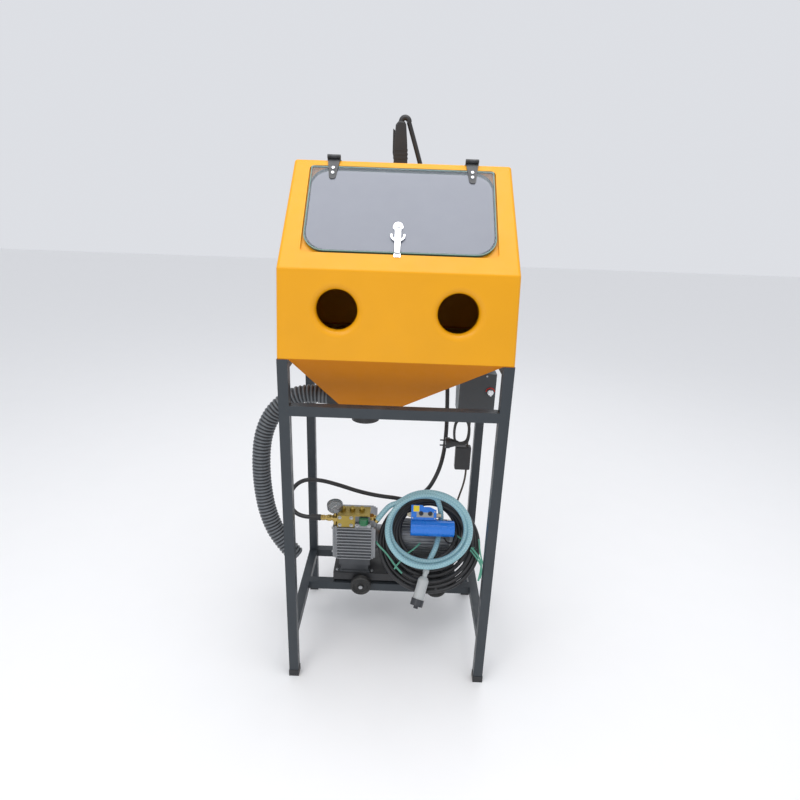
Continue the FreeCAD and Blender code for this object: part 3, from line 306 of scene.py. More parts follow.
def material(name, tint, rough, grain=900.0, depth=0.1, drift=0.25, dust=0.12, metal=0.0, coat=0.0,
             shine=0.5):
    """A finish with grain and dust over a plain shader."""
    made = bpy.data.materials.new(name)
    made.use_nodes = True
    tree = made.node_tree
    shader = tree.nodes["Principled BSDF"]
    shader.inputs["Metallic"].default_value = metal
    shader.inputs["Coat Weight"].default_value = coat
    shader.inputs["Specular IOR Level"].default_value = shine
    grained = add_group(tree, "grain", colour=(*tint, 1.0), drift=drift, roughness=rough,
                        grain_scale=grain, grain_depth=depth)
    dusted = add_group(tree, "dust", amount=dust * 0.5)
    link(tree, [(grained.outputs["Colour"], dusted.inputs["Colour"]),
                (dusted.outputs["Colour"], shader.inputs["Base Color"]),
                (grained.outputs["Roughness"], shader.inputs["Roughness"]),
                (grained.outputs["Normal"], shader.inputs["Normal"])])
    return made


def glass_material(name, tint, rough, alpha):
    """Smoky lid glass that still shows what lies just behind it."""
    made = material(name, tint, rough, 60.0, 0.01, 0.12, 0.05, coat=0.35)
    made.node_tree.nodes["Principled BSDF"].inputs["Alpha"].default_value = alpha
    return made


def lid_material(name, tint):
    """Glass with a dark film over the window, and a clear margin outside the film's round corners."""
    made = glass_material(name, tint, 0.16, FILM_ALPHA)
    tree = made.node_tree
    squares = []
    for axis, middle, half in (("X", 0.0, FILM_HALF[0]), ("Y", FILM_MIDDLE, FILM_HALF[1])):
        away = maths(tree, "ABSOLUTE", maths(tree, "ADD", axis_value(tree, axis, place=SLOPE), -middle))
        past = remap(tree, away, half - FILM_CORNER, half, 0.0, 1.0)
        squares.append(maths(tree, "MULTIPLY", past, past))
    alpha = remap(tree, maths(tree, "ADD", *squares), 0.98, 1.0, FILM_ALPHA, MARGIN_ALPHA)
    link(tree, [(alpha, tree.nodes["Principled BSDF"].inputs["Alpha"])])
    return made


def two_part_material(name, axis, border, first, second, top=None):
    """A finish that changes at a border, except above a height, where the first one stays."""
    metal = 0.0 if axis == "Z" else 0.9
    made = material(name, first, 0.36, 600.0, 0.25, 0.45, 0.1, metal=metal)
    tree = made.node_tree
    shader = tree.nodes["Principled BSDF"]
    base = shader.inputs["Base Color"].links[0].from_socket
    edge = 0.0008
    beyond = remap(tree, axis_value(tree, axis), border, border + edge, 0.0, 1.0)
    if top:
        under = remap(tree, axis_value(tree, "Z"), top, top + edge, 1.0, 0.0)
        beyond = maths(tree, "MULTIPLY", beyond, under)
    other = add_group(tree, "grain", colour=(*second, 1.0), drift=0.4, roughness=0.42,
                      grain_scale=500.0, grain_depth=0.4)
    link(tree, [(mix_colour(tree, beyond, base, other.outputs["Colour"]), shader.inputs["Base Color"])])
    return made


def ribbed_material(name, tint):
    """Hose wall with painted shade darkening its grooves, in step with its ribs."""
    made = material(name, tint, 0.42, 900.0, 0.2, 0.3, 0.10)
    tree = made.node_tree
    shader = tree.nodes["Principled BSDF"]
    base = shader.inputs["Base Color"].links[0].from_socket
    phase = maths(tree, "MULTIPLY", axis_value(tree, "Y", "UV"), 2 * math.pi / sizes().rib_pitch)
    crest = remap(tree, maths(tree, "SINE", phase), -0.7, 0.5, 0.0, 1.0)
    # painted shade: the grooves between the ribs are darkened, and the crests keep the hose's colour
    groove_shade = (0.012, 0.014, 0.017, 1.0)
    link(tree, [(mix_colour(tree, crest, groove_shade, base), shader.inputs["Base Color"])])
    return made


def braided_material(name, tint):
    """Clear hose wall with pale yarn inside it."""
    made = material(name, tint, 0.22, 500.0, 0.04, 0.35, 0.05, coat=0.5)
    tree = made.node_tree
    shader = tree.nodes["Principled BSDF"]
    base = shader.inputs["Base Color"].links[0].from_socket
    yarn = add_group(tree, "braid", pitch=110.0, around=3.0)
    cover = remap(tree, yarn.outputs["Mask"], 0.0, 1.0, 0.0, 0.45)
    pale = mix_colour(tree, cover, base, (0.48, 0.68, 0.72, 1.0))
    link(tree, [(pale, shader.inputs["Base Color"])])
    return made


FINISHES = {}


def finish(name):
    """The named finish, built the first time it is asked for."""
    if name not in FINISHES:
        FINISHES[name] = FINISH_RECIPES[name](name)
    return FINISHES[name]


FINISH_RECIPES = {
    "shell": lambda n: material(n, colours().shell, 0.36, 1400.0, 0.10, 0.14, 0.02, coat=0.06, shine=0.3),
    # painted shade: the hopper's colour is the shell's yellow, darkened for the shade it stands in
    "hopper": lambda n: material(n, colours().hopper, 0.46, 1200.0, 0.14, 0.2, 0.02, shine=0.2),
    "stand": lambda n: material(n, colours().stand, 0.38, 1500.0, 0.18, 0.25, 0.06, shine=0.35),
    "box side": lambda n: material(n, colours().box_side, 0.42, 1500.0, 0.15, 0.2, 0.10),
    "box front": lambda n: material(n, (0.045, 0.05, 0.055), 0.45, 1500.0, 0.15, 0.2, 0.10),
    "black plastic": lambda n: material(n, (0.018, 0.018, 0.02), 0.42, 1600.0, 0.2, 0.3, 0.10),
    "tray": lambda n: material(n, (0.022, 0.023, 0.026), 0.5, 700.0, 0.25, 0.3, 0.18),
    "tyre": lambda n: material(n, (0.02, 0.02, 0.02), 0.62, 900.0, 0.4, 0.3, 0.25),
    "seal": lambda n: material(n, (0.05, 0.11, 0.10), 0.6, 900.0, 0.3, 0.2, 0.1),
    "glass": lambda n: lid_material(n, colours().glass),
    "gauge glass": lambda n: glass_material(n, (0.75, 0.8, 0.8), 0.05, 0.14),
    "glass edge": lambda n: material(n, colours().glass_edge, 0.2, 300.0, 0.05, 0.3, 0.05, coat=0.5),
    "hinge grey": lambda n: material(n, (0.028, 0.029, 0.033), 0.36, 1400.0, 0.2, 0.25, 0.12),
    "chrome": lambda n: material(n, (0.86, 0.87, 0.89), 0.16, 600.0, 0.05, 0.12, 0.04, metal=0.85),
    "gauge case": lambda n: material(n, (0.26, 0.27, 0.28), 0.24, 600.0, 0.05, 0.2, 0.06, metal=0.9),
    "steel": lambda n: material(n, (0.48, 0.49, 0.50), 0.34, 800.0, 0.15, 0.4, 0.12, metal=1.0),
    "cast": lambda n: material(n, (0.30, 0.31, 0.325), 0.44, 420.0, 0.55, 0.5, 0.14, metal=0.7),
    "dark foot": lambda n: material(n, (0.075, 0.08, 0.088), 0.5, 500.0, 0.4, 0.4, 0.2, metal=0.3),
    "pump head": lambda n: two_part_material(
        n, "X", HEAD_BORDER_X, (0.42, 0.31, 0.075), (0.17, 0.18, 0.185), HEAD_TOP_Z),
    "strainer caps": lambda n: two_part_material(
        n, "Z", STRAINER_BORDER_Z, (0.035, 0.038, 0.045), (0.55, 0.58, 0.58)),
    "cover grey": lambda n: material(n, (0.56, 0.58, 0.59), 0.45, 1200.0, 0.2, 0.2, 0.12),
    "brass": lambda n: material(n, (0.50, 0.36, 0.12), 0.30, 700.0, 0.18, 0.5, 0.08, metal=1.0),
    "green": lambda n: material(n, (0.012, 0.16, 0.055), 0.3, 900.0, 0.1, 0.2, 0.06, coat=0.2),
    "motor blue": lambda n: material(n, colours().motor, 0.28, 1100.0, 0.10, 0.15, 0.03, coat=0.25),
    "cream": lambda n: material(n, (0.66, 0.56, 0.38), 0.45, 900.0, 0.1, 0.2, 0.08),
    "pressure rubber": lambda n: material(n, (0.014, 0.014, 0.016), 0.36, 1300.0, 0.25, 0.3, 0.12),
    "suction": lambda n: braided_material(n, colours().suction),
    "drain": lambda n: ribbed_material(n, colours().drain),
    "cord black": lambda n: material(n, (0.015, 0.015, 0.015), 0.45, 1200.0, 0.2, 0.2, 0.08),
    "cord brown": lambda n: material(n, (0.06, 0.042, 0.028), 0.5, 1200.0, 0.2, 0.3, 0.08),
    "strainer": lambda n: material(n, (0.50, 0.52, 0.52), 0.4, 260.0, 0.7, 0.6, 0.08),
    "strap": lambda n: material(n, colours().strap, 0.4, 500.0, 0.2, 0.4, 0.03),
    "yellow label": lambda n: material(n, (0.85, 0.66, 0.02), 0.4, 400.0, 0.05, 0.2, 0.02),
    "grey label": lambda n: material(n, (0.36, 0.38, 0.37), 0.45, 400.0, 0.05, 0.2, 0.02),
    "dial": lambda n: material(n, (0.17, 0.18, 0.19), 0.5, 400.0, 0.03, 0.2, 0.0),
    "dial marks": lambda n: material(n, (0.75, 0.76, 0.76), 0.5, 400.0, 0.03, 0.1, 0.0),
    "red": lambda n: material(n, (0.55, 0.02, 0.015), 0.35, 600.0, 0.08, 0.2, 0.02),
}

NODE_FINISHES = {
    "shell": ("cabinet_shell",),
    "hopper": ("hopper",),
    "stand": ("stand_legs", "stand_rails", "gun_holders"),
    "black plastic": ("foot_caps", "hinge_brackets", "drain_fittings", "mains_plug", "power_adapter",
                      "hose_ends", "start_button", "stop_button", "gun_body", "gun_trigger"),
    "seal": ("window_seal",),
    "glass": ("lid_glass",),
    "gauge glass": ("gauge_glass",),
    "hinge grey": ("hinge_straps",),
    "chrome": ("lid_screws", "latch_base", "latch_lever", "latch_keeper", "switch_knob"),
    "steel": ("work_grate", "axles", "trolley_bolts", "motor_rotor", "gun_lance"),
    "box side": ("control_box",),
    "box front": ("control_box_cover",),
    "cream": ("cable_glands",),
    "tray": ("trolley_base",),
    "tyre": ("wheel_front_left", "wheel_front_right", "wheel_rear_left", "wheel_rear_right"),
    "cast": ("pump_crankcase", "motor_body"),
    "dark foot": ("mounting_feet",),
    "pump head": ("pump_head",),
    "brass": ("hose_fittings",),
    "dial marks": ("gauge_needle",),
    "gauge case": ("gauge_case",),
    "strainer caps": ("strainer_caps",),
    "green": ("oil_cap",),
    "cover grey": ("fan_cover",),
    "motor blue": ("terminal_box", "capacitor_can"),
    "strainer": ("strainer_body",),
}


# ---- modelling helpers --------------------------------------------------------
def deselect():
    bpy.ops.object.select_all(action="DESELECT")


def pick(piece):
    """Select one piece alone and make it active."""
    deselect()
    piece.select_set(True)
    bpy.context.view_layer.objects.active = piece
    return piece


def apply_to(piece, kind, **values):
    """Give a piece one modifier and apply it."""
    pick(piece)
    modifier = piece.modifiers.new("shape", kind)
    for label, value in values.items():
        setattr(modifier, label, value)
    bpy.ops.object.modifier_apply(modifier=modifier.name)
    return piece


def mesh_piece(name, vertices, faces):
    """New piece from its points and faces, picked."""
    mesh = bpy.data.meshes.new(name)
    mesh.from_pydata(vertices, [], faces)
    mesh.update()
    piece = bpy.data.objects.new(name, mesh)
    bpy.context.collection.objects.link(piece)
    return pick(piece)


def dress(piece, name, look, body):
    """Name a piece, give it its finish and say which body it rides on."""
    piece.name = name
    piece.data.materials.clear()
    piece.data.materials.append(finish(look))
    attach(piece, body)
    return piece


def settle(piece, matrix):
    """Put a piece modelled at the origin in its place, in its mesh."""
    pick(piece)
    piece.matrix_world = matrix @ piece.matrix_world
    bpy.ops.object.transform_apply(location=True, rotation=True, scale=True)
    return piece


def edit(step):
    """Run one step on the whole of the active mesh in edit mode."""
    bpy.ops.object.mode_set(mode="EDIT")
    bpy.ops.mesh.select_all(action="SELECT")
    step()
    bpy.ops.object.mode_set(mode="OBJECT")


def smooth(angle=35.0):
    bpy.ops.object.shade_smooth_by_angle(angle=math.radians(angle))


def soften(width, segments=2):
    """Round the active piece's edges with a bevel."""
    apply_to(bpy.context.object, "BEVEL", width=width, segments=segments, limit_method="ANGLE")
    smooth()


def block(size, rounding):
    """Softened block, sitting on the local XY plane."""
    deselect()
    bpy.ops.mesh.primitive_cube_add(size=1.0, location=(0, 0, 0))
    piece = bpy.context.object
    edit(lambda: bpy.ops.transform.resize(value=size))
    edit(lambda: bpy.ops.transform.translate(value=(0, 0, size[2] / 2)))
    soften(rounding)
    return piece


def disc(radius, height, rounding, sides=40):
    """Softened disc, sitting on the local XY plane."""
    deselect()
    bpy.ops.mesh.primitive_cylinder_add(vertices=sides, radius=radius, depth=height, location=(0, 0, 0))
    piece = bpy.context.object
    edit(lambda: bpy.ops.transform.translate(value=(0, 0, height / 2)))
    soften(rounding)
    return piece


def round_corners(piece, side, radius):
    """Round a flat piece's corners on one side of its middle: -1 is its foot, 1 its head."""
    bpy.ops.object.mode_set(mode="EDIT")
    bpy.ops.mesh.select_all(action="DESELECT")
    bpy.ops.object.mode_set(mode="OBJECT")
    for vertex in piece.data.vertices:
        vertex.select = vertex.co.y * side > 0
    bpy.ops.object.mode_set(mode="EDIT")
    bpy.ops.mesh.bevel(offset=radius, segments=8, affect="VERTICES")
    bpy.ops.object.mode_set(mode="OBJECT")


def plate(width, height, corner, thick, head_corner=None):
    """Thin plate with round corners, centred, on the local XY plane."""
    deselect()
    bpy.ops.mesh.primitive_plane_add(size=1.0, location=(0, 0, 0))
    piece = bpy.context.object
    edit(lambda: bpy.ops.transform.resize(value=(width, height, 1)))
    round_corners(piece, -1, corner)
    round_corners(piece, 1, head_corner or corner)
    edit(lambda: bpy.ops.mesh.extrude_region_move(TRANSFORM_OT_translate={"value": (0, 0, thick)}))
    edit(lambda: bpy.ops.mesh.normals_make_consistent(inside=False))
    return piece


def carve(piece, cutter):
    """Cut one piece out of another, which stays active."""
    apply_to(piece, "BOOLEAN", object=cutter, solver="EXACT")
    bpy.data.objects.remove(cutter)
    smooth()
    return piece


def join(pieces):
    deselect()
    for piece in pieces:
        piece.select_set(True)
    bpy.context.view_layer.objects.active = pieces[0]
    bpy.ops.object.join()
    return bpy.context.object


def copies(piece, matrices):
    """The piece at each matrix, each with its own mesh, joined to one."""
    made = []
    for matrix in matrices:
        twin = piece.copy()
        twin.data = piece.data.copy()
        bpy.context.collection.objects.link(twin)
        made.append(settle(twin, matrix))
    bpy.data.objects.remove(piece)
    return join(made)


def turned(place, direction):
    """Matrix that stands local Z along a direction at a place."""
    facing = Vector(direction).to_track_quat("Z", "Y").to_matrix().to_4x4()
    return Matrix.Translation(place) @ facing


# ---- hoses and cords ----------------------------------------------------------
def spline_line(name, route):
    """Points along the smooth line that a route's points control."""
    curve = bpy.data.curves.new(name + "_line", "CURVE")
    curve.dimensions = "3D"
    curve.resolution_u = 10
    spline = curve.splines.new("NURBS")
    spline.points.add(len(route) - 1)
    for point, place in zip(spline.points, route):
        point.co = (*place, 1.0)
    spline.order_u = 3
    spline.use_endpoint_u = True
    holder = bpy.data.objects.new(name + "_line", curve)
    bpy.context.collection.objects.link(holder)
    line = bpy.data.meshes.new_from_object(holder)
    points = [vertex.co.copy() for vertex in line.vertices]
    bpy.data.objects.remove(holder)
    bpy.data.curves.remove(curve)
    bpy.data.meshes.remove(line)
    return points


def line_length(points):
    return sum((b - a).length for a, b in zip(points, points[1:]))


def even_steps(points, step):
    """The same line with its points a fixed step apart."""
    total = line_length(points)
    count = max(2, round(total / step))
    wanted = [total * i / count for i in range(count + 1)]
    spaced = [points[0]]
    travelled = 0.0
    index = 1
    for a, b in zip(points, points[1:]):
        run = (b - a).length
        while index < count and wanted[index] <= travelled + run:
            spaced.append(a.lerp(b, (wanted[index] - travelled) / run))
            index += 1
        travelled += run
    spaced.append(points[-1])
    return spaced


def tube(name, points, radius_at, sides):
    """Mesh tube round a line; U runs round it once and V is the distance along it."""
    tangents = []
    for i in range(len(points)):
        tangents.append((points[min(i + 1, len(points) - 1)] - points[max(i - 1, 0)]).normalized())
    normal = tangents[0].orthogonal().normalized()
    vertices = []
    travelled = [0.0]
    for i, (point, tangent) in enumerate(zip(points, tangents)):
        if i:
            normal = tangents[i - 1].rotation_difference(tangent) @ normal
            travelled.append(travelled[-1] + (point - points[i - 1]).length)
        normal = (normal - tangent * normal.dot(tangent)).normalized()
        across = tangent.cross(normal)
        radius = radius_at(travelled[-1])
        for side in range(sides):
            turn = 2 * math.pi * side / sides
            vertices.append(point + (normal * math.cos(turn) + across * math.sin(turn)) * radius)
    faces = []
    corners = []
    for ring in range(len(points) - 1):
        for side in range(sides):
            beside = (side + 1) % sides
            low = ring * sides
            faces.append((low + side, low + beside, low + sides + beside, low + sides + side))
            u0 = side / sides
            u1 = (side + 1) / sides
            v0 = travelled[ring]
            v1 = travelled[ring + 1]
            corners.extend([(u0, v0), (u1, v0), (u1, v1), (u0, v1)])
    last = (len(points) - 1) * sides
    faces.append(tuple(range(sides - 1, -1, -1)))
    faces.append(tuple(range(last, last + sides)))
    corners.extend([(0.5, 0.0)] * sides)
    corners.extend([(0.5, travelled[-1])] * sides)
    piece = mesh_piece(name, vertices, faces)
    layer = piece.data.uv_layers.new(name="UVMap")
    for loop, corner in zip(layer.data, corners):
        loop.uv = corner
    smooth(50.0)
    return piece


def cord(name, route, diameter, look, slot, solids, sides=16, step=0.004, radius_at=None, **facts):
    points = even_steps(spline_line(name, route), step)
    piece = tube(name, points, radius_at or (lambda _: diameter / 2), sides)
    dress(piece, name, look, "root")
    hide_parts(*solids)
    return piece


def blend_between(stops, t):
    """Value at t, eased between (t, value) stops."""
    for (t0, v0), (t1, v1) in zip(stops, stops[1:]):
        if t <= t1:
            share = min(1.0, max(0.0, (t - t0) / (t1 - t0)))
            share = share * share * (3 - 2 * share)
            return v0 + (v1 - v0) * share
    return stops[-1][1]


DRAIN_ROUTE = [at(*p) for p in (
    (-216, 233, 930), (-286, 232, 936), (-350, 229, 910), (-400, 223, 858), (-429, 217, 786),
    (-438, 210, 700), (-436, 206, 600), (-420, 199, 500), (-382, 190, 414), (-326, 184, 350))]
PRESSURE_LEAD = [at(*p) for p in (
    (-285, 262, 457), (-328, 262, 457), (-367, 288, 486), (-367, 326, 528), (-328, 352, 557),
    (-264, 355, 556), (-194, 352, 539), (-122, 350, 516), (-48, 350, 501), (24, 346, 497))]
PRESSURE_RISER = [at(*p) for p in (
    (124, 346, 532), (148, 356, 568), (170, 380, 612), (184, 412, 664), (190, 446, 728), (190, 474, 804),
    (187, 490, 886), (181, 497, 976), (175, 499, 1076), (164, 500, 1184), (147, 501, 1292),
    (124, 502, 1396), (97, 501, 1492), (70, 500, 1580), (46, 500, 1658), (12, 500, 1757))]
SUCTION_LEAD = [on_lean(*p) for p in ((-50, 64, 139), (-30, 92, 144), (-6, 118, 149))]
SUCTION_TAIL = [on_lean(*p) for p in (
    (154, 156, 141), (171, 122, 128), (178, 86, 111), (177, 46, 99), (170, 6, 101), (159, -31, 119),
    (138, -68, 129), (129, -101, 132))]
PUMP_CORD = [at(*p) for p in (
    (258, 337, 848), (260, 338, 806), (256, 337, 762), (257, 338, 706), (259, 338, 650), (259, 341, 596),
    (253, 352, 547), (244, 366, 500), (238, 376, 458), (236, 378, 420))]
CAPACITOR_LEAD = [on_lean(*p) for p in (
    (222, 36, 142), (233, 20, 142), (229, 0, 134), (213, -10, 121), (201, -7, 104), (196, 1, 88),
    (195, 4, 71))]
COIL_X = 136.0
TURN_POINTS = 16


def coil_place(k, angle):
    """A place in the pressure coil: k counts turns from the inside, gathered at the top."""
    half_width = blend_between([(0, 98), (1, 113), (2, 128), (3, 143), (4, 158), (5, 172), (6, 186)], k)
    low = blend_between([(0, -64), (1, -86), (2, -108), (3, -129), (4, -150), (5, -170), (6, -190)], k)
    high = blend_between([(0, 129), (2, 129.5), (3, 144.5), (5, 144.5), (6, 158)], k)
    top_off = blend_between([(0, 79), (1, 94.5), (2, 110), (3, 110), (4, 94.5), (5, 79), (6, 90)], k)
    low_off = blend_between([(0, 94), (1, 87), (2, 95), (3, 89), (4, 96), (5, 90), (6, 95)], k)
    height = (1 + math.sin(angle)) / 2
    middle = (high + low) / 2
    reach = (high - low) / 2
    off = low_off + (top_off - low_off) * height
    drift = COIL_X + 1.2 * k
    return on_lean(drift + half_width * math.cos(angle), middle + reach * math.sin(angle), off)


def pressure_coil(turns):
    start = math.radians(108)
    route = []
    for i in range(turns * TURN_POINTS + 1):
        done = i / TURN_POINTS
        spread = min(done, turns - 0.001) * (turns - 1) / turns
        route.append(coil_place(spread, start - 2 * math.pi * done))
    return route


def suction_coil():
    """Loose turns that lie beside each other, the last one behind."""
    half_width = [(0, 143), (0.25, 147), (0.5, 151), (0.75, 152), (1, 140), (1.25, 135), (1.5, 137),
                  (1.75, 139), (2, 137), (2.2, 128)]
    half_height = [(0, 128), (0.25, 126), (0.5, 130), (0.75, 134), (1, 120), (1.25, 116), (1.5, 118),
                   (1.75, 116), (2, 120), (2.2, 126)]
    off = [(0, 154), (0.25, 165), (0.5, 166), (0.75, 166), (1, 166), (1.25, 161), (1.5, 147), (1.75, 147),
           (2, 145), (2.2, 143)]
    route = []
    for i in range(34):
        done = i / TURN_POINTS
        angle = math.radians(140) - 2 * math.pi * done
        x = 130 + blend_between(half_width, done) * math.cos(angle)
        height = 42 + blend_between(half_height, done) * math.sin(angle)
        route.append(on_lean(x, height, blend_between(off, done)))
    return route


def hank_route():
    """Mains cord: down the right side, round two folded turns, and into its plug."""
    x = 229.0
    middle = 789.0
    bend = 26.0
    straight = 20.0
    route = [(232, 300, 848), (234, 306, 838), (243, 314, 826), (252, 316, 812)]
    turns = 2
    for i in range(turns * 12 + 4):
        angle = -math.pi * 2 * i / 12
        lift = straight * (1 if math.sin(angle) > 0.05 else -1 if math.sin(angle) < -0.05 else 0)
        depth = 311 - 9.2 * i / 12
        route.append((x + bend * math.cos(angle), depth, middle + lift + bend * math.sin(angle)))
    route = route[:-1]
    route.append((220, 300, 746))
    return [at(*p) for p in route]


class CABINET_OT_drain_hose(bpy.types.Operator):
    """Ribbed drain hose from the hopper's spigot"""
    bl_idname = "cabinet.drain_hose"
    bl_label = "Drain hose"

    def execute(self, context):
        outer = sizes().drain_hose / 2
        pitch = sizes().rib_pitch
        cuff = 0.032

        def radius_at(distance):
            if distance < cuff:
                return outer * 0.985
            wave = math.sin(2 * math.pi * distance / pitch)
            return outer - 0.0036 * (0.5 - 0.5 * math.copysign(abs(wave) ** 0.6, wave))

        cord("drain_hose_ribbed", DRAIN_ROUTE, sizes().drain_hose, "drain", "drain_grey", ["drain_hose"],
             sides=48, step=0.00107, radius_at=radius_at, far_end="bare", stiffness="medium",
             lay="hanging")
        return {"FINISHED"}


class CABINET_OT_pressure_hose(bpy.types.Operator):
    """Black pressure hose: from the pump, round its coil and up to the gun"""
    bl_idname = "cabinet.pressure_hose"
    bl_label = "Pressure hose"

    def execute(self, context):
        route = PRESSURE_LEAD + pressure_coil(sizes().coil_turns) + PRESSURE_RISER
        cord("pressure_hose", route, sizes().pressure_hose, "pressure rubber", "pressure_rubber",
             ["pressure_lead", "pressure_coil", "pressure_riser"], sides=18, step=0.005, far_end="object",
             stiffness="stiff", lay="coiled")
        return {"FINISHED"}


class CABINET_OT_suction_hose(bpy.types.Operator):
    """Braided suction hose: from the pump's inlet, round its coil and down to the strainer"""
    bl_idname = "cabinet.suction_hose"
    bl_label = "Suction hose"

    def execute(self, context):
        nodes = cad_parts
        route = SUCTION_LEAD + suction_coil() + SUCTION_TAIL
        cord("suction_hose", route, sizes().suction_hose, "suction", "suction_pvc",
             ["suction_lead", "suction_coil", "suction_tail"], sides=22, step=0.004, far_end="fitting",
             stiffness="medium", lay="coiled",
             with_pieces=[nodes["strainer_caps"], nodes["strainer_body"]])
        return {"FINISHED"}


class CABINET_OT_power_cords(bpy.types.Operator):
    """Mains cord in its hank, pump cord through its adapter, and the capacitor's lead"""
    bl_idname = "cabinet.power_cords"
    bl_label = "Power cords"

    def execute(self, context):
        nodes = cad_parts
        cord("mains_cord", hank_route(), sizes().mains_cord, "cord black", "cord_black", ["mains_hank"],
             sides=12, step=0.003, far_end="plug", stiffness="medium", lay="coiled",
             with_pieces=[nodes["mains_plug"]])
        cord("pump_cord_line", PUMP_CORD, sizes().pump_cord, "cord brown", "cord_brown", ["pump_cord"],
             sides=12, step=0.004, far_end="object", stiffness="medium", lay="hanging",
             with_pieces=[nodes["power_adapter"]])
        cord("capacitor_lead_line", CAPACITOR_LEAD, sizes().capacitor_lead, "cord black", "cord_black",
             ["capacitor_lead"], sides=12, step=0.002, far_end="object", stiffness="medium", lay="loose")
        return {"FINISHED"}


# ---- small fittings -----------------------------------------------------------
class CABINET_OT_lid_rim(bpy.types.Operator):
    """Green cut edge round the lid's glass"""
    bl_idname = "cabinet.lid_rim"
    bl_label = "Lid rim"

    def execute(self, context):
        rim = plate(RIM_WIDTH, RIM_HEIGHT, RIM_CORNER, RIM_THICK, RIM_HEAD_CORNER)
        hole = plate(RIM_WIDTH - 2 * RIM_WALL, RIM_HEIGHT - 2 * RIM_WALL, RIM_CORNER - 0.003, 0.02,
                     RIM_HEAD_CORNER)
        carve(rim, settle(hole, Matrix.Translation((0, 0, -0.008))))
        settle(rim, SLOPE @ Matrix.Translation((0, 0.203, -0.0029)))
        dress(rim, "lid_rim", "glass edge", "lid")
        return {"FINISHED"}


class CABINET_OT_labels(bpy.types.Operator):
    """Blank labels and button collars on the terminal box"""
    bl_idname = "cabinet.labels"
    bl_label = "Labels"

    def execute(self, context):
        face = TERMINAL_FACE
        sticker = settle(plate(0.021, 0.021, 0.0015, 0.0004),
                         LEAN @ Matrix.Translation((0.087, 0.1085, face)))
        dress(sticker, "yellow_sticker", "yellow label", "root")
        strip = settle(plate(0.060, 0.017, 0.0012, 0.0006),
                       LEAN @ Matrix.Translation((0.118, 0.0875, face)))
        holes = [LEAN @ Matrix.Translation((x, BUTTON_S, face - 0.01)) for x in BUTTON_X]
        cutter = copies(disc(0.0056, 0.03, 0.0001), holes)
        carve(strip, cutter)
        dress(strip, "button_strip", "grey label", "root")
        deselect()
        bpy.ops.mesh.primitive_torus_add(major_radius=0.0068, minor_radius=0.0011, major_segments=36,
                                         minor_segments=10)
        edit(lambda: bpy.ops.transform.resize(value=(1, 1, 0.8)))
        smooth()
        spots = [LEAN @ Matrix.Translation((x, BUTTON_S, face + 0.0009)) for x in BUTTON_X]
        dress(copies(context.object, spots), "button_collars", "black plastic", "root")
        return {"FINISHED"}


class CABINET_OT_gauge_face(bpy.types.Operator):
    """Grey dial with its ring of pale marks, under the gauge's glass"""
    bl_idname = "cabinet.gauge_face"
    bl_label = "Gauge face"

    def execute(self, context):
        gauge = plane_matrix(at(*GAUGE_PLACE), GAUGE_TILT)
        face = settle(disc(0.0255, 0.0011, 0.0002), gauge @ Matrix.Translation((0, 0, 0.0262)))
        dress(face, "gauge_face", "dial", "root")
        marks = []
        for i in range(28):
            long = 0.0046 if i % 3 == 0 else 0.0026
            turn = Matrix.Rotation(math.radians(-135 + i * 10), 4, "Z")
            mark = block((0.0006, long, 0.0003), 0.00008)
            marks.append(settle(mark, gauge @ turn @ Matrix.Translation((0, 0.0236 - long / 2, 0.0273))))
        dress(join(marks), "gauge_marks", "dial marks", "root")
        return {"FINISHED"}


def pan_screw(radius, height):
    """Low domed screw head with a cross recess."""
    head = disc(radius, height, height * 0.4, 32)
    for size in ((radius * 1.2, radius * 0.22, height), (radius * 0.22, radius * 1.2, height)):
        slot = block(size, 0.00005)
        carve(head, settle(slot, Matrix.Translation((0, 0, height * 0.55))))
    return head


class CABINET_OT_screws(bpy.types.Operator):
    """Screws of the control box, the terminal box and the pump"""
    bl_idname = "cabinet.screws"
    bl_label = "Screws"

    def execute(self, context):
        spots = [turned(at(x, 250.5, z), (0, -1, 0)) for x in (213, 291) for z in (873, 1005)]
        dress(copies(pan_screw(0.0032, 0.0018), spots), "box_screws", "steel", "root")
        corners = ((0.0745, 0.076), (0.1525, 0.076), (0.1525, 0.099))
        spots = [LEAN @ Matrix.Translation((x, s, TERMINAL_FACE)) for x, s in corners]
        dress(copies(pan_screw(0.0026, 0.0015), spots), "terminal_screws", "steel", "root")
        spots = [turned(at(-207, y, z), (-1, 0, 0)) for y in (262, 378) for z in (318, 416)]
        spots += [turned(at(x, 244, z), (0, -1, 0)) for x in (-182, -141) for z in (440, 470)]
        spots += [turned(at(-118 + dx, 240, 442), (0, -1, 0)) for dx in (-2, 40)]
        cap = disc(0.0048, 0.0055, 0.0008, 6)
        washer = disc(0.0068, 0.0012, 0.0003)
        dress(copies(join([cap, washer]), spots), "pump_screws", "steel", "root")
        return {"FINISHED"}


class CABINET_OT_gun_bands(bpy.types.Operator):
    """Raised bands round the foot of the gun's grip"""
    bl_idname = "cabinet.gun_bands"
    bl_label = "Gun bands"

    def execute(self, context):
        bands = []
        for z, left, right in ((1648, -33.2, 11.0), (1660, -33.2, 10.6), (1672, -33.2, 10.0)):
            wide = (right - left + 3) * MM
            band = plate(wide, 0.033, 0.0055, 0.005)
            hole = plate(wide - 0.004, 0.029, 0.0042, 0.02)
            carve(band, settle(hole, Matrix.Translation((0, 0, -0.008))))
            bands.append(settle(band, Matrix.Translation(at((left + right) / 2, 500, z))))
        dress(join(bands), "gun_bands", "black plastic", "root")
        return {"FINISHED"}


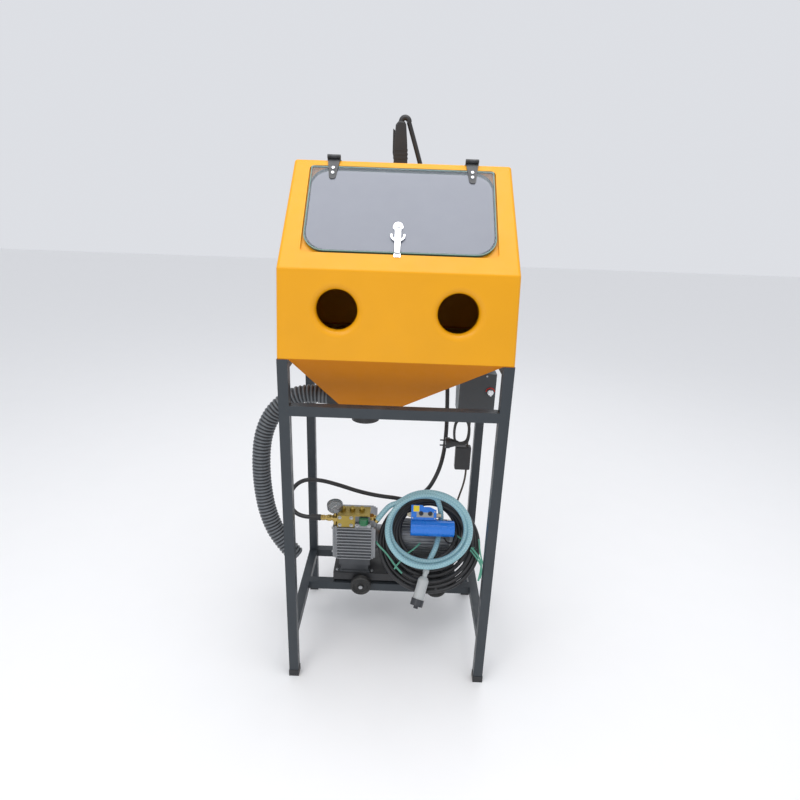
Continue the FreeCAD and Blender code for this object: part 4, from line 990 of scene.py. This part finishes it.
class CABINET_OT_key_switch(bpy.types.Operator):
    """Red collar half round the key switch"""
    bl_idname = "cabinet.key_switch"
    bl_label = "Key switch"

    def execute(self, context):
        deselect()
        bpy.ops.mesh.primitive_torus_add(major_radius=0.0136, minor_radius=0.0019, major_segments=48,
                                         minor_segments=12)
        edit(lambda: bpy.ops.mesh.bisect(plane_co=(0, 0.002, 0), plane_no=(0, 1, 0), use_fill=True,
                                         clear_inner=True))
        edit(lambda: bpy.ops.mesh.normals_make_consistent(inside=False))
        smooth()
        collar = settle(context.object, turned(at(305, 249.3, 952), (0, -1, 0)))
        dress(collar, "switch_collar", "red", "root")
        return {"FINISHED"}


# ---- tie straps ---------------------------------------------------------------
def strap_loop(angle):
    """Ribbon pulled round the bundle of turns at one angle of the coil."""
    inner = coil_place(0, angle)
    outer = coil_place(5, angle)
    across = outer - inner
    reach = across.length / 2 + 0.0095
    across.normalize()
    out = LEAN.to_3x3() @ Vector((0, 0, 1))
    middle = (inner + outer) / 2
    along = across.cross(out).normalized()
    deselect()
    bpy.ops.mesh.primitive_circle_add(vertices=40, radius=1.0, fill_type="NOTHING")
    loop = bpy.context.object
    edit(lambda: bpy.ops.transform.resize(value=(reach, 0.0135, 1)))
    edit(lambda: bpy.ops.mesh.extrude_region_move(TRANSFORM_OT_translate={"value": (0, 0, 0.0055)}))
    apply_to(loop, "SOLIDIFY", thickness=STRAP_THICK, offset=1.0)
    edit(lambda: bpy.ops.mesh.normals_make_consistent(inside=False))
    smooth()
    basis = Matrix((across, along.cross(across), along)).transposed().to_4x4()
    return settle(loop, Matrix.Translation(middle) @ basis)


def strap_tail(name, points, width):
    """Loose end of a strap, a flat ribbon along a few points of the leaning plane."""
    line = even_steps(spline_line(name, [on_lean(*p) for p in points]), 0.004)
    out = LEAN.to_3x3() @ Vector((0, 0, 1))
    vertices = []
    for i, point in enumerate(line):
        ahead = line[min(i + 1, len(line) - 1)] - line[max(i - 1, 0)]
        side = ahead.cross(out).normalized() * width / 2
        vertices.extend([point - side, point + side])
    faces = [(2 * i, 2 * i + 1, 2 * i + 3, 2 * i + 2) for i in range(len(line) - 1)]
    piece = apply_to(mesh_piece(name, vertices, faces), "SOLIDIFY", thickness=STRAP_THICK)
    smooth()
    return piece


class CABINET_OT_straps(bpy.types.Operator):
    """Green straps that tie the pressure hose's turns, with their loose ends"""
    bl_idname = "cabinet.straps"
    bl_label = "Straps"

    def execute(self, context):
        left = [
            strap_tail("tail", [(-54, -12, 98), (-46, -24, 107), (-20, -46, 109), (2, -72, 110),
                                (21, -96, 112), (34, -110, 113), (44, -119, 110)], 0.006),
            strap_tail("tail", [(106, -13, 96), (92, -28, 108), (58, -52, 111), (36, -78, 112),
                                (21, -96, 111), (16, -106, 108)], 0.0055)]
        dress(join(left), "strap_left", "strap", "root")
        right = [
            strap_loop(math.radians(-6)),
            strap_tail("tail", [(288, -22, 110), (306, -40, 112), (322, -66, 113), (325, -96, 112),
                                (314, -136, 108)], 0.0065),
            strap_tail("tail", [(316, 8, 100), (318, -30, 110), (325, -64, 114), (332, -84, 113)], 0.005),
            strap_tail("tail", [(284, -30, 110), (300, -48, 113), (319, -74, 115), (328, -100, 112),
                                (320, -128, 108)], 0.005)]
        dress(join(right), "strap_right", "strap", "root")
        return {"FINISHED"}


# ---- finishes and stage -------------------------------------------------------
class CABINET_OT_finishes(bpy.types.Operator):
    """Give every part of the frame its finish"""
    bl_idname = "cabinet.finishes"
    bl_label = "Finishes"

    def execute(self, context):
        for look, names in NODE_FINISHES.items():
            for name in names:
                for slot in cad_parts[name].material_slots:
                    slot.material = finish(look)
        return {"FINISHED"}


def soft_light(name, place, target, size, power):
    lamp = bpy.data.lights.new(name, "AREA")
    lamp.shape = "DISK"
    lamp.size = size
    lamp.energy = power
    holder = bpy.data.objects.new(name, lamp)
    holder.location = place
    holder.rotation_euler = (Vector(target) - Vector(place)).to_track_quat("-Z", "Y").to_euler()
    bpy.context.collection.objects.link(holder)


class CABINET_OT_stage(bpy.types.Operator):
    """Camera, pale floor and soft studio light"""
    bl_idname = "cabinet.stage"
    bl_label = "Stage"

    def execute(self, context):
        lens = bpy.data.cameras.new("camera")
        lens.sensor_width = 36.0
        lens.lens = 36.0 * 567.0 / 800.0
        camera = bpy.data.objects.new("camera", lens)
        camera.location = at(15, -1480.6, 1544)
        tilt = Quaternion((1, 0, 0), math.radians(70))
        roll = Quaternion((0, 0, 1), math.radians(2.04))
        camera.rotation_mode = "QUATERNION"
        camera.rotation_quaternion = tilt @ roll
        context.collection.objects.link(camera)
        context.scene.camera = camera

        deselect()
        bpy.ops.mesh.primitive_plane_add(size=24.0, location=(0, 0, 0))
        floor = context.object
        floor.name = "floor"
        floor.data.materials.append(material("floor", (0.92, 0.92, 0.92), 0.6, 30.0, 0.02, 0.02, 0.0))

        sky = bpy.data.worlds.new("studio")
        sky.use_nodes = True
        sky.node_tree.nodes["Background"].inputs["Color"].default_value = (0.93, 0.95, 1.0, 1.0)
        sky.node_tree.nodes["Background"].inputs["Strength"].default_value = 0.78
        context.scene.world = sky
        context.scene.view_settings.view_transform = "Standard"
        soft_light("key", (-1.6, -2.4, 3.2), (0, 0, 0.9), 1.6, 22.0)
        soft_light("fill", (2.4, -1.8, 1.8), (0, 0, 0.7), 2.0, 5.0)
        soft_light("low front", (-0.3, -2.2, 0.5), (0, 0, 0.4), 1.4, 2.5)
        soft_light("top", (0, -0.5, 3.6), (0, 0, 1.0), 2.4, 40.0)
        soft_light("back", (0.8, 2.4, 2.8), (0, 0, 1.0), 1.8, 8.0)
        return {"FINISHED"}


OPERATORS = (
    CABINET_OT_stage, CABINET_OT_drain_hose, CABINET_OT_pressure_hose, CABINET_OT_suction_hose,
    CABINET_OT_power_cords, CABINET_OT_finishes, CABINET_OT_lid_rim, CABINET_OT_labels,
    CABINET_OT_gauge_face, CABINET_OT_screws, CABINET_OT_gun_bands, CABINET_OT_key_switch,
    CABINET_OT_straps,
)


class CABINET_PT_panel(bpy.types.Panel):
    """Sidebar list of the cabinet's operators"""
    bl_idname = "CABINET_PT_panel"
    bl_label = "Blast Cabinet"
    bl_space_type = "VIEW_3D"
    bl_region_type = "UI"
    bl_category = "Cabinet"

    def draw(self, context):
        for settings in (context.scene.cabinet_colours, context.scene.cabinet_sizes):
            for name in settings.__annotations__:
                self.layout.prop(settings, name)
        for operator in OPERATORS:
            self.layout.operator(operator.bl_idname)


CLASSES = (CabinetColours, CabinetSizes, *OPERATORS, CABINET_PT_panel)


def register():
    for item in CLASSES:
        bpy.utils.register_class(item)
    bpy.types.Scene.cabinet_colours = PointerProperty(type=CabinetColours)
    bpy.types.Scene.cabinet_sizes = PointerProperty(type=CabinetSizes)


def unregister():
    del bpy.types.Scene.cabinet_sizes
    del bpy.types.Scene.cabinet_colours
    for item in reversed(CLASSES):
        bpy.utils.unregister_class(item)


def main():
    register()
    for operator in OPERATORS:
        name = operator.bl_idname.split(".")[1]
        getattr(bpy.ops.cabinet, name)()


if __name__ == "__main__":
    main()
